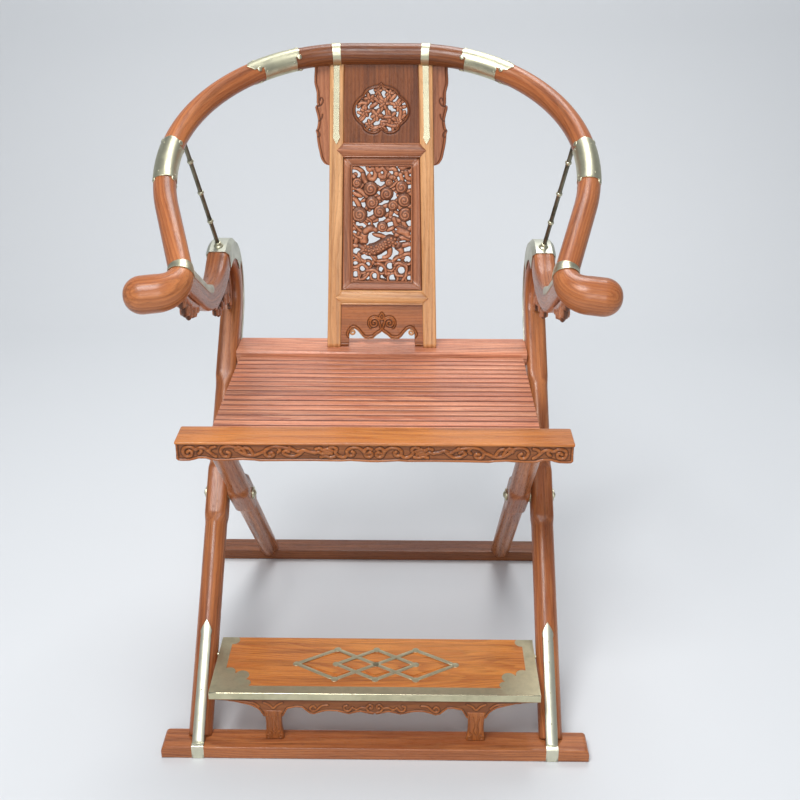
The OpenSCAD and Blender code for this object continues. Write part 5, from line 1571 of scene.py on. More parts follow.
@dataclass
class Splat:
    """The bowed back: stiles, mouldings, wings, and the pierced carving between them."""

    seat_z: float = 522.0
    head_z: float = 1022.0
    bottom_width: float = 205.0
    top_width: float = 180.0
    stile: float = 25.0
    stile_thick: float = 18.0
    foot_back: float = 204.5
    head_back: float = 279.5
    bow: float = 14.0
    foot_panel: float = 78.0
    moulding: float = 25.0
    carved: float = 239.0
    frame_width: float = 17.0

    def __post_init__(self) -> None:
        """Finds the bow's circle through foot and head."""
        run, rise = self.head_back - self.foot_back, self.head_z - self.seat_z
        chord = math.hypot(run, rise)
        self.radius = ((chord / 2) ** 2 + self.bow**2) / (2 * self.bow)
        off = self.radius - self.bow
        self.cy = self.foot_back + run / 2 - off * rise / chord
        self.cz = self.seat_z + rise / 2 + off * run / chord
        self.carved_z = self.seat_z + self.foot_panel + self.moulding
        self.upper_z = self.carved_z + self.carved
        self.mid_z = self.carved_z + self.carved / 2
        self.top_z = self.upper_z + self.moulding
        self.share = (self.head_z - self.top_z) / 140.0
        self.medal_z = self.top_z + 62.0 * self.share

    def half(self, z: np.ndarray) -> np.ndarray:
        """Half width over the stiles at a height."""
        return self.bottom_width / 2 - (self.bottom_width
                                        - self.top_width) / 2 * (z - self.seat_z) / (self.head_z
                                                                                     - self.seat_z)

    def lay_on(self, p: np.ndarray) -> np.ndarray:
        """Flat (x, depth, z) to the bow: y = cy + sqrt((R + depth)^2 - (z - cz)^2)."""
        y = self.cy + np.sqrt((self.radius + p[:, 1]) ** 2 - (p[:, 2] - self.cz) ** 2)
        return np.stack([p[:, 0], y, p[:, 2]], 1)

    def depth_of(self, p: np.ndarray) -> np.ndarray:
        """How far points lie behind the bow's middle surface."""
        return np.hypot(p[:, 1] - self.cy, p[:, 2] - self.cz) - self.radius

    def stile_shell(self) -> Shell:
        """The right stile: a softened rectangle carried up the bow, its top inside the crest."""
        z = np.linspace(self.seat_z, self.head_z + 12, 70)
        x = self.half(z) - self.stile / 2
        ring = oval(np.full_like(z, self.stile / 2), self.stile_thick / 2, 9.0, 40)
        path = np.stack([x, np.zeros_like(z), z], 1)
        return carried(path, X_AXIS, Y_AXIS, ring).mapped(self.lay_on)

    def moulding_shell(self, z0: float) -> Shell:
        """A cross rail with mitred points let into the stiles and a half-round front between fillets.

        Across its height the front stands out by 8.7 + 2.2 sqrt(1 - (z/0.8)^2), the height shrinking
        to nothing along the points.

        Args:
            z0: Height of its lower edge.

        Returns:
            The shell.
        """
        m = z0 + self.moulding / 2
        a = float(self.half(np.array(m))) - self.stile
        p = a + self.stile * 0.45
        x = np.concatenate([np.linspace(-p, -a, 14), np.linspace(-a, a, 40)[1:-1], np.linspace(a, p, 14)])
        high = np.clip((p - np.abs(x)) / (p - a), 0.02, 1) * (self.moulding / 2)
        z = np.concatenate([[-1, -0.93, -0.86, -0.82], np.linspace(-0.80, 0.80, 25), [0.82, 0.86, 0.93, 1]])
        round_part = 2.2 * np.sqrt(np.clip(1 - (z / 0.8) ** 2, 0, 1))
        fillet = np.where(np.abs(z) > 0.84, 0.9, 0.0) - np.where(np.abs(z) == 1, 0.8, 0.0)
        front = -(8.7 + np.maximum(round_part, fillet))
        y = np.concatenate([front, np.full(3, 9.0)])
        zz = np.concatenate([z, [1, 0, -1]])
        section = np.stack([np.broadcast_to(y, (len(x), len(y))), zz[None] * high[:, None]], -1)
        path = np.stack([x, np.zeros_like(x), np.full_like(x, m)], 1)
        return carried(path, Y_AXIS, Z_AXIS, section).mapped(self.lay_on)

    def bead(self, line: np.ndarray, radius: float, depth: float) -> Shell:
        """A round bead along a line on the front of the splat.

        Args:
            line: The line in flat x and z.
            radius: Radius of the bead.
            depth: Depth of its middle behind the bow's middle surface.

        Returns:
            The shell, laid on the bow.
        """
        p = np.asarray(line, float)
        t = np.gradient(p, axis=0)
        t /= np.linalg.norm(t, axis=1, keepdims=True)
        path = np.stack([p[:, 0], np.full(len(p), depth), p[:, 1]], 1)
        side = np.stack([-t[:, 1], np.zeros(len(p)), t[:, 0]], 1)
        return carried(path, side, Y_AXIS, oval(np.full(len(p), radius), radius, 2.0,
                                                10)).mapped(self.lay_on)

    def lobes(self) -> np.ndarray:
        """Outline of the medallion about its middle: a closed curve through the cusps and lobes."""
        right = np.array(MEDALLION_OUTLINE, float)
        ring = np.vstack([right, (right * FLIP)[-2:0:-1]])
        return curve_through(np.vstack([ring, ring[:1]]), 8)[:-1]

    def panel_shell(self) -> Shell:
        """The top panel pierced by the medallion: rings from the outline out to the panel's edges.

        A bead 1.5 sqrt(1 - ((d - 2)/1.9)^2) high runs round the opening, d the distance from it.
        """
        inner = self.lobes()
        a = np.arctan2(inner[:, 1], inner[:, 0])
        up, down = self.head_z + 5 - self.medal_z, self.medal_z - self.top_z + 2
        w = float(self.half(np.array(self.medal_z))) - self.stile + 1.2
        c, q = np.maximum(np.abs(np.cos(a)), 1e-6), np.maximum(np.abs(np.sin(a)), 1e-6)
        r1 = np.minimum(w / c, np.where(np.sin(a) > 0, up, down) / q)
        r0 = np.linalg.norm(inner, axis=1)
        d = np.array([0, 0.3, 0.7, 1.2, 1.7, 2.2, 2.8, 3.4, 3.8, 4.3, 5.0, 5.8, 6.6, 8.0])
        f = np.concatenate([np.zeros(len(d)), np.linspace(0, 1, 12)[1:]])
        dd = np.concatenate([d, np.full(11, d[-1])])
        out = dd[:, None] * np.ones_like(a)
        radius = r0[None] + out + f[:, None] * np.maximum(r1 - r0 - d[-1], 0.5)[None]
        bead = 1.5 * np.sqrt(np.clip(1 - ((dd - 2.0) / 1.9) ** 2, 0,
                                     1)) - 0.6 * np.exp(-(((dd - 4.9) / 0.8) ** 2)) - 1.2 * (dd == 0)
        x, z = radius * np.cos(a), radius * np.sin(a) + self.medal_z
        x = x * (self.half(z) - self.stile + 1.2) / w
        front = np.stack([x, np.broadcast_to(-5.2 - bead[:, None], x.shape), z], -1)
        back = np.stack([x, np.full_like(x, 5.2), z], -1)[::-1][[0, 5, -1]]
        rings = np.concatenate([front, back])
        shell = skin(rings, rings[..., [2, 0, 1]], loop=True)
        # Painted shade in the groove beyond the bead and at the opening's edge.
        tone = 1 - 0.9 * np.exp(-(((dd - 5.0) / 1.0) ** 2)) - 0.8 * np.exp(-((dd / 0.5) ** 2))
        shell.relief = np.concatenate([np.repeat(tone, len(a)), np.ones(3 * len(a))])
        return shell.mapped(self.lay_on)

    def frame_shell(self) -> Shell:
        """The mitred frame of the carving: a moulded section carried round between window and border."""
        w, h = self.window()
        t = np.linspace(-1, 1, 26)
        flat, side = np.ones_like(t), np.ones_like(t)
        inner = np.vstack([np.stack([t * w / 2, -flat * h / 2], 1), np.stack([side * w / 2, t * h / 2], 1),
                           np.stack([-t * w / 2, flat * h / 2], 1),
                           np.stack([-side * w / 2, -t * h / 2], 1)])
        x1, z1 = w / 2 + self.frame_width + 6.0, h / 2 + self.frame_width + 0.6
        outer = inner * np.array([x1 / (w / 2), z1 / (h / 2)])
        wide = (self.half(outer[:, 1] + self.mid_z) - self.stile + 0.8) / x1
        outer = outer * np.stack([wide, np.ones_like(wide)], 1)
        f = np.array([0, 0.02, 0.05, 0.09, 0.13, 0.16, 0.185, 0.21, 0.26, 0.34, 0.6, 0.80, 0.86, 0.895,
                      0.92, 0.95, 1.0, 1.0, 0.5, 0])
        y = np.array([-2.6, -5.0, -6.3, -6.8, -6.5, -5.6, -4.2, -4.0, -4.6, -5.0, -5.4, -5.6, -5.5, -4.6,
                      -3.6, -3.4, -3.4, 4.6, 4.6, 4.6])
        flatxz = inner[:, None] + f[None, :, None] * (outer - inner)[:, None]
        rings = np.stack([flatxz[..., 0], np.broadcast_to(y, flatxz.shape[:2]),
                          flatxz[..., 1] + self.mid_z], -1)
        upright = np.tile(np.repeat([0.0, 1.0], 26), 2)[:, None, None]
        along = upright * rings[..., [2, 0, 1]] + (1 - upright) * (rings[..., [0, 2, 1]] + 300.0)
        shell = skin(rings, along, loop=True)
        # Painted shade in the frame's grooves and along both its edges.
        tone = np.interp(f, [0, 0.01, 0.03, 0.15, 0.19, 0.22, 0.28, 0.87, 0.91, 0.93, 1.0],
                         [0.1, 0.4, 1, 1, 0.1, 0.3, 1, 1, 0.3, 0.1, 0.1])
        shell.relief = np.tile(tone, len(inner))
        return shell.mapped(self.lay_on)

    def foot_edge(self, x: np.ndarray) -> np.ndarray:
        """Lower edge of the foot panel over the seat: an ogee, two hanging lobes and two curled bays.

        Args:
            x: Distances from the middle.

        Returns:
            Heights over the floor.
        """
        at = [0, 3, 8, 12, 17.4, 25, 31, 35.6, 42, 47, 51, 54.5, 58, 60.4, 61.4, 62.2, 80]
        up = [30.5, 27.5, 24.4, 21.6, 16.6, 15.2, 16.2, 19.7, 27.6, 32.4, 34.4, 34.4, 32.4, 29, 25, 0.6,
              0.6]
        return self.seat_z + np.interp(np.abs(x), at, up)

    def foot_shell(self) -> Shell:
        """The foot panel: a relief field between its cut-out edge and the moulding, closed by its back."""
        z1 = self.seat_z + self.foot_panel + 1
        w = float(self.half(np.array(self.seat_z))) - self.stile + 1.0
        x = np.linspace(-w, w, 620)
        low = self.foot_edge(x)
        f = np.concatenate([[0, 0.008], np.linspace(0.03, 1, 110)])
        z = low[:, None] + f[None] * (z1 - low)[:, None]
        xx = x[:, None] * ((self.half(z) - self.stile + 1.0) / w)
        strokes = self.foot_lines()
        h = relief_of(xx, z, strokes)
        step = 0.7 * (f < 0.004)[None]
        halo = relief_of(xx, z, widened(strokes, 1.7))
        groove = np.where((halo > 0.05) & (h < 0.2), 0.8 * halo, 0.0)
        # Painted shade in the creases round the strokes, under the moulding and beside the stiles.
        rim = np.clip((z1 - z) / 2.4, 0, 1) * np.clip((w - np.abs(x))[:, None] / 2.4, 0, 1)
        tone = np.clip(1 - 1.15 * groove / 0.8, 0.08, 1) * (0.2 + 0.8 * rim)
        shell = relief_board(np.stack([xx, -4.6 - h + step + groove, z], -1), 5.4, 12, tone)
        shell.along = shell.points[:, [0, 2, 1]] * MM
        return shell.mapped(self.lay_on)

    def chisel(self, obj: bpy.types.Object, strokes: Sequence[Stroke], lift: float,
               bosses: Sequence[Boss]) -> None:
        """Cuts a melted carving's front along strokes and paints shade on all that no stroke raises.

        A point at height h of the relief moves lift (0.7 - h) into the wood, on the front alone.

        Args:
            obj: The piece, in place on the bow.
            strokes: Curves in flat x and z, with half width and height 0 to 1, later ones on top.
            lift: Depth of the cuts in millimetres.
            bosses: Round bosses that show only their own strokes: middle, radius and strokes.
        """
        p = points_of(obj.data).astype(float) / MM
        depth = self.depth_of(p)
        high = relief_of(p[:, 0], p[:, 2], strokes, over=True)
        for x, z, r, lines in bosses:
            gap = np.hypot(p[:, 0] - x, p[:, 2] - z) / r
            inside = gap < BOSS_RIM
            own = relief_of(p[inside, 0], p[inside, 2], lines)
            high[inside] = np.where(gap[inside] < 1.0, np.maximum(own, BOSS_HEIGHT), 0.0)
        face = smoothstep((-depth - 0.5) / 2.0)
        cut = self.lay_on(np.stack([p[:, 0], depth + lift * (0.7 - high) * face, p[:, 2]], 1))
        obj.data.vertices.foreach_set("co", (cut * MM).astype(np.float32).ravel())
        # Painted shade: low relief, the sides and the back are darkened.
        set_shade_relief(obj, 1.1 * high**3 * (0.3 + 0.7 * face))
        obj.data.update()

    def carving(self) -> Carving:
        """Clouds with spiral roundels, the beast among them, and pierced rock below."""
        work = Carving()
        for x, z, r, start, way in CLOUD_ROUNDELS:
            work.roundel(x, z, r, start, way)
        for points in CLOUD_STEMS:
            work.stem(points)
        for points, width in WAVE_STEMS:
            work.stem(points, width, 3.4, -1.4)
        self.beast(work)
        self.rock(work)
        for x, z, long, wide, lean in CLOUD_LEAVES:
            work.leaf((x, -0.4, z), (long, 3.6, wide), lean, 8, 0.7 * long, 0.85 * wide)
        return work

    def beast(self, work: Carving) -> None:
        """Adds the beast: barrel, neck and head, then horns, mane and legs, and its scales.

        Args:
            work: The carving, which takes them in.
        """
        body = curve_through(BEAST_BACK, 8)
        work.shells.append(carved_line(body, (9, 12, 12.5, 12, 13, 9), 6.4, -1.6, 20))
        work.stem([(-30, -38), (-34, -26), (-30, -14), (-22, -8)], (10, 9, 7.5, 6), 5.6, -2.2)
        work.shells.append(ball((-22, -3.4, -8), (10.5, 4.8, 7.5), 24))
        work.shells.append(ball((-12, -4.0, -10), (7.5, 3.6, 4.6), -12))
        for points, width in BEAST_LIMBS:
            work.stem(points, width, 4.2, -2.2)
        work.strokes.append((body, 11.0, 0.85))
        work.strokes.append((curve_through([(-30, -12), (-22, -8), (-12, -10)], 6), 7.0, 0.9))
        for i in range(SCALE_ROWS):
            for j in range(3):
                x, z = body[min(int((i + 0.5 * (j % 2)) * 4.4) + 2, len(body) - 1)]
                x, z = x + (j - 1) * 1.5, z + (j - 1) * 6.4
                work.shells.append(ball((x, -7.2 + abs(j - 1), z), (2.9, 1.6, 2.9), n=6))
                work.strokes.append((np.array([(x - 0.4, z), (x + 0.4, z)]), 3.0, 1.0))

    def rock(self, work: Carving) -> None:
        """Adds the rock: a rim round each eye, rounded masses between, and ridges over them.

        Args:
            work: The carving, which takes them in.
        """
        ring = np.linspace(0, 1.06 * TAU, 26)
        for x, z, r in ROCK_EYES:
            line = np.stack([x + (r + 2.7) * np.cos(ring), z + (r + 2.7) * np.sin(ring)], 1)
            work.shells.append(carved_line(line, (3.1, 3.1), 4.6, -0.4, 10))
            work.strokes.insert(0, (line, 2.9, 0.95))
        for x, z, wide, high, lean in ROCK_MASSES:
            work.shells.append(ball((x, -0.2, z), (wide, 4.8, high), lean, 8))
        for points, width in ROCK_STEMS:
            work.stem(points, (width, width, width), 4.4, -0.3)

    def medallion(self) -> Carving:
        """Flowers, leaves and stems that cross the lobed opening."""
        work = Carving()
        for points in MEDALLION_STEMS:
            line = curve_through(points, 6)
            work.shells.append(carved_line(line, (3.4, 4.6, 3.8), 3.6, 0.0, 10))
            work.strokes.append((line, 3.6, 1.0))
        for x, z, size in MEDALLION_FLOWERS:
            a, r = np.arange(5) * TAU / 5 + x, 1.22 * size
            petals = [(x + 0.52 * r * math.cos(t), z + 0.52 * r * math.sin(t), math.degrees(t)) for t in a]
            work.shells += [ball((px, -2.2, pz), (r * 0.58, 2.6, r * 0.46), lean, 6) for px, pz,
                            lean in petals]
            work.shells.append(ball((x, -3.6, z), (r * 0.28, 1.8, r * 0.28), n=6))
            tips = [(x + 0.8 * r * math.cos(t), z + 0.8 * r * math.sin(t)) for t in a]
            work.strokes += [(np.array([(x, z), tip]), 0.26 * r, 1.0) for tip in tips]
        for x, z, lean in MEDALLION_LEAVES:
            work.leaf((x, -1.2, z), (10.0, 2.8, 5.0), lean, 7, 6.0, 4.0)
        return work

    def wing(self) -> Shell:
        """The right wing: a waved board whose front rises in a rim along its free edge.

        Stations run up the wing. At each the front goes from the stile to the edge's distance w(z), and
        the rim adds 1.3 exp(-((w - t - 2.2)/1.4)^2) of height at distance t.
        """
        z1 = self.head_z
        knots = np.array([(849, 0.6), (851, 7.5), (854.5, 11.5), (862, 15.8), (872, 18.3), (884, 21.0),
                          (894, 22.6), (904, 23.4), (909, 24.9),
                          (914, 22.6), (926, 20.9), (936, 22.4), (946, 25.2), (951, 25.6), (954, 22.4),
                          (958, 23.2), (966, 23.2), (976, 23.6),
                          (990, 27.0), (1002, 27.2), (1012, 26.6), (z1 - 2, 26.8)])
        fine = curve_through(knots, 9)
        z = fine[:, 0]
        w = fine[:, 1]
        t = np.concatenate([[0], np.linspace(0.02, 1, 60)])
        x = w[:, None] * t[None]
        gap = w[:, None] - x
        curls = [curve_through(p, 6) for p in WING_CURLS]
        scored = relief_of(x, np.broadcast_to(z[:, None], x.shape), [(c, 1.5, 1.0) for c in curls])
        groove = np.maximum(np.exp(-(((gap - 4.6) / 0.9) ** 2)), scored) * np.clip(w[:, None] / 8, 0, 1)
        rim = 1.3 * np.exp(-(((gap - 2.2) / 1.4) ** 2)) * np.clip(w[:, None] / 8, 0, 1) - 1.1 * groove
        soft = 1.6 * np.clip(1 - (w[:, None] - x) / 1.2, 0, 1) ** 2
        y = -4.6 - rim + soft
        inner = self.half(z)[:, None] + 0.1
        zz = np.broadcast_to(z[:, None], x.shape)
        front = np.stack([inner + x, y, zz], -1)
        back = np.stack([inner + x, np.full_like(x, 5.6) - soft, zz], -1)[:, ::-1]
        shell = skin(np.concatenate([front, back], 1))
        # Painted shade in the groove and in the scored curls.
        level = np.concatenate([1 - 0.95 * groove, np.ones_like(x)], 1)
        shell.relief = np.concatenate([level.ravel(), [1.0, 1.0]])
        grain = shell.points[:, [2, 0, 1]] * MM
        return Shell(self.lay_on(shell.points), shell.quads, shell.tris, grain, shell.relief)

    def foot_lines(self) -> list[Stroke]:
        """Raised edge of the cut-out and the two volutes above it, as strokes in flat x and z."""
        z = self.seat_z
        x = np.linspace(0, 60.6, 60)
        edge = np.stack([x, self.foot_edge(x) + 2.2], 1)
        hook = curve_through([(61.5, z + 30), (64.4, z + 23), (61, z + 17.5), (55.5, z + 18.5),
                              (54.2, z + 23.5), (58, z + 25.5)], 8)
        sill = np.array([(55.0, z + 10.0), (50.5, z + 6.0), (56, z + 4.6), (78, z + 4.6)])
        swirl = np.vstack([curve_through([(1.2, z + 33), (3.4, z + 40), (5.4, z + 47.5)], 6),
                           spiral(14.2, z + 43.4, 9.6, 1.55, 150, -1)])
        crown = curve_through([(4, z + 50), (7.6, z + 53.4), (14, z + 55), (20.6, z + 52.4), (24.6, z + 46),
                               (24.2, z + 39), (20.6, z + 34)], 8)
        bud = curve_through([(0, z + 49), (3.2, z + 52), (3.6, z + 56.4), (0, z + 61.4)], 7)
        return mirrored_too([(edge, 1.7, 1.5), (hook, 1.8, 1.6), (sill, 1.2, 0.8), (swirl, 1.6, 2.0),
                             (crown, 1.3, 1.5), (bud, 1.3, 1.5)])

    def build(self, shop: Workshop) -> None:
        """Makes every piece of the splat and dresses the solids that stay.

        Args:
            shop: Dresses the pieces.
        """
        light, dark, red = (shop.palette.wood(finish) for finish in (TAN, CARVED, WING))
        stile = self.stile_shell()
        for side, made in (("right", stile), ("left", stile.mirrored())):
            shop.make(f"stile_{side}_wood", made, light, Slot.LIGHT_WOOD,
                      stands_for=[f"splat_stile_{side}"])
        low, high = self.moulding_shell(self.seat_z + self.foot_panel), self.moulding_shell(self.upper_z)
        shop.make("moulding_low_wood", low, light, Slot.LIGHT_WOOD, stands_for=["splat_mouldings"])
        shop.make("moulding_high_wood", high, red, Slot.LIGHT_WOOD)
        shell, strokes, bosses = self.carving().settled(1.0, self.mid_z)
        carving = melted("carving_wood", shell.mapped(self.clipped_window).mapped(self.lay_on), 0.87, 1)
        self.chisel(carving, strokes, 2.0, bosses)
        shop.fit(carving, dark, Slot.CARVED_WOOD, stands_for=["splat_carving"])
        shell, strokes, bosses = self.medallion().settled(self.share, self.medal_z)
        knot = melted("medallion_wood", shell.mapped(self.lay_on), 0.7, 1)
        self.chisel(knot, strokes, 1.5, bosses)
        shop.fit(knot, dark, Slot.CARVED_WOOD, stands_for=["splat_medallion"])
        top, deep = shop.palette.wood(PANEL), shop.palette.wood(GOLDEN_DEEP)
        shop.make("top_panel_wood", self.panel_shell(), top, Slot.CARVED_WOOD,
                  stands_for=["splat_top_panel"])
        shop.make("carved_frame_wood", self.frame_shell(), red, Slot.CARVED_WOOD,
                  stands_for=["splat_carved_frame"])
        shop.make("wing_wood", both_sides([self.wing()]), red, Slot.CARVED_WOOD, stands_for=["splat_wings"])
        shop.make("foot_panel_wood", self.foot_shell(), deep, Slot.LIGHT_WOOD,
                  stands_for=["splat_foot_panel"])
        x = np.linspace(0.6, 53, 70)
        lip = np.stack([x, self.foot_edge(x) - 0.8], 1)
        curl = np.vstack([lip, spiral(54.6, self.seat_z + 26.0, 6.4, 1.3, 95, -1)])
        edges = [self.bead(c, 2.0, -1.4) for c in (curl, curl * FLIP)]
        shop.make("foot_cut_wood", joined(edges), light, Slot.LIGHT_WOOD)
        shop.dress("stile_strips", shop.palette.metal(POLISHED))

    def window(self) -> tuple[float, float]:
        """Width and height of the carved window."""
        w = 2 * (float(self.half(np.array(self.carved_z))) - self.stile - self.frame_width) - 10
        return w, self.carved - 2 * self.frame_width

    def clipped_window(self, p: np.ndarray) -> np.ndarray:
        """Holds the carving inside its window, a hair into the frame.

        Args:
            p: Flat points, n by 3.

        Returns:
            The points, held in the window.
        """
        w, h = self.window()
        q = p.copy()
        q[:, 0] = np.clip(q[:, 0], -w / 2 - 0.3, w / 2 + 0.3)
        q[:, 2] = np.clip(q[:, 2], self.mid_z - h / 2 - 0.3, self.mid_z + h / 2 + 0.3)
        return q


@dataclass
class Seat:
    """Front rail with its carved apron, rear rail and the slat mat."""

    lay: Layout
    front_axis: float = -173.0
    front_depth: float = 59.5
    front_length: float = 618.0
    apron_drop: float = 7.0
    slats: int = 16

    def plank(self) -> Shell:
        """The front rail's top: a plank along x with a thin lip, a shadow groove and softened ends."""
        half = self.front_length / 2
        top, low = self.lay.seat_z, self.lay.seat_z - self.lay.rail_thick
        y0, y1 = self.front_axis - self.front_depth / 2, self.front_axis + self.front_depth / 2
        soft = np.array([1.6, 0.7, 0.2, 0.0])
        x = np.concatenate([-half + np.array([0, 0.6, 1.4, 2.4]), np.linspace(-half + 8, half - 8, 50),
                            half - np.array([2.4, 1.4, 0.6, 0])])
        shrink = np.concatenate([soft, np.zeros(50), soft[::-1]])
        ring = np.array([(y0 + 0.15, top - 2.6), (y0 + 0.5, top - 1.2), (y0 + 1.6, top - 0.3),
                         (y0 + 4, top), (y0 + 14, top), (y1 - 14, top), (y1 - 3.4, top),
                         (y1 - 1.2, top - 0.8), (y1, top - 3), (y1, low + 10), (y1 - 1.2, low + 7),
                         (y1 - 8, low + 0.6), (y1 - 10, low), (y0 + 15, low),
                         (y0 + 14, top - 6), (y0 + 5, top - 6), (y0 + 4.6, top - 4.4),
                         (y0 + 0.9, top - 4.2), (y0 + 0.3, top - 3.6)])
        d = ring - ring.mean(0)
        unit = d / np.linalg.norm(d, axis=1, keepdims=True)
        section = ring[None] - unit[None] * shrink[:, None, None]
        path = np.stack([x, np.zeros_like(x), np.zeros_like(x)], 1)
        return carried(path, Y_AXIS, Z_AXIS, section)

    def low_edge(self, x: np.ndarray) -> np.ndarray:
        """Lower edge of the apron: lobes and cusped bays, its rise read off a row of knots.

        Args:
            x: Distances from the middle.

        Returns:
            Heights over the floor.
        """
        base = self.lay.seat_z - self.lay.rail_thick - self.apron_drop
        f = np.abs(x) / (self.front_length / 2)
        at = np.array([0, 0.02, 0.06, 0.12, 0.17, 0.30, 0.42, 0.54, 0.575, 0.60, 0.66, 0.74, 0.79, 0.82,
                       0.845, 0.885, 0.905, 0.93, 0.965, 0.985, 1.0])
        up = np.array([0.2, 0.2, 0.9, 2.0, 1.0, 1.5, 1.2, 0.6, 0.3, 1.6, 2.6, 0.9, 0.6, 1.8, 4.6, 4.6, 2.4,
                       0.6, 0.2, 0.6, 5.0])
        return base + np.interp(f, at, up)

    def tendrils(self, mid: float) -> list[Stroke]:
        """Scrolling leaves of one half as curves (distance from the middle, height), and their mirror.

        Args:
            mid: Height of the band's middle.

        Returns:
            Strokes for relief_of.
        """
        right = [curve_through([(x, mid + z) for x, z in points], 6) for points in APRON_LEAVES]
        return mirrored_too([(curve, 2.7, 2.4) for curve in right])

    def apron(self) -> Shell:
        """The carved front: a relief field over a cusped board, closed by its flat back."""
        w = self.front_length / 2 - 1.2
        top = self.lay.seat_z - 4.6
        y0, y1 = self.front_axis - self.front_depth / 2 + 0.9, self.front_axis - self.front_depth / 2 + 15
        x = np.linspace(-w, w, 1000)
        low = self.low_edge(x)
        f = np.concatenate([[0.0, 0.012], np.linspace(0.035, 0.985, 46), [1.0]])
        z = low[:, None] + f[None] * (top - low)[:, None]
        xx = np.broadcast_to(x[:, None], z.shape)
        rim = np.stack([x, low + 2.0], 1)[::3]
        ends = [np.array([[e * (w - 1.8), top - 1], [e * (w - 1.8), low[0] + 1]]) for e in (-1, 1)]
        strokes = self.tendrils((top + low.mean()) / 2
                                + 1.0) + [(rim, 1.9, 2.0)] + [(e, 1.8, 2.0) for e in ends]
        h = relief_of(xx, z, strokes)
        halo = relief_of(xx, z, widened(strokes, 1.5))
        crease = np.where(h < 0.5, halo, 0.0) * (1 - np.clip(h / 0.5, 0, 1))
        edge = np.where((f < 0.005)[None], 1.2, 0.0)
        # Painted light and shade: raised leaves lighter, creases round them and the band under the plank
        # darker.
        tone = np.clip(0.60 + 0.40 * np.clip(h / 1.6, 0, 1) - 0.9 * crease, 0.05, 1)
        tone *= np.clip(0.3 + (top - z) / 2.2, 0, 1)
        return relief_board(np.stack([xx, y0 + 2.3 - h + edge + 0.5 * crease, z], -1), y1, 6, tone)

    def build(self, shop: Workshop) -> None:
        """Makes the front rail and dresses the rear rail and the slats.

        Args:
            shop: Dresses the pieces.
        """
        rail = mesh_object("front_rail_wood", self.plank())
        bevel = rail.modifiers.new("soften", "BEVEL")
        bevel.width, bevel.segments, bevel.limit_method = 0.0006, 2, "ANGLE"
        golden = shop.palette.wood(GOLDEN)
        shop.fit(rail, golden, Slot.LIGHT_WOOD, Body.CROSS_FRAME, ["front_seat_rail"])
        deep = shop.palette.wood(GOLDEN_DEEP)
        shop.make("apron_wood", self.apron(), deep, Slot.LIGHT_WOOD, Body.CROSS_FRAME)
        shop.dress("rear_seat_rail", shop.palette.wood(SLATTED, Grain.X))
        rng = np.random.default_rng(11)
        seam = float(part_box("slat_01")[1][2])
        for i in range(1, self.slats + 1):
            shop.dress(f"slat_{i:02d}", shop.palette.wood(self.slat_finish(i, rng, seam), Grain.X))

    def slat_finish(self, i: int, rng: np.random.Generator, seam: float) -> WoodFinish:
        """The slats' finish, a little lighter or darker and warmer or cooler, cut elsewhere in the wood.

        Args:
            i: Number of the slat.
            rng: Source of the differences.
            seam: Height of the slats' top in metres.

        Returns:
            The finish of this slat.
        """
        light = 1 + rng.uniform(-0.12, 0.12)
        warm = rng.uniform(-0.02, 0.02) * np.array([1, 0.5, 0.2])
        plain = (SLATTED.light, SLATTED.mid, SLATTED.dark)
        tones = [tuple(np.clip(np.array(tone) * light + warm, 0, 1).tolist()) for tone in plain]
        centre = tuple(float(rng.uniform(low, high)) for low, high in ((0, 3), (-0.1, 0.1), (-0.4, -0.2)))
        return WoodFinish(f"slat_{i:02d}_rosewood", *tones, rings=48.0, wander=0.06, streaks=0.5,
                          centre=centre, seam=seam)


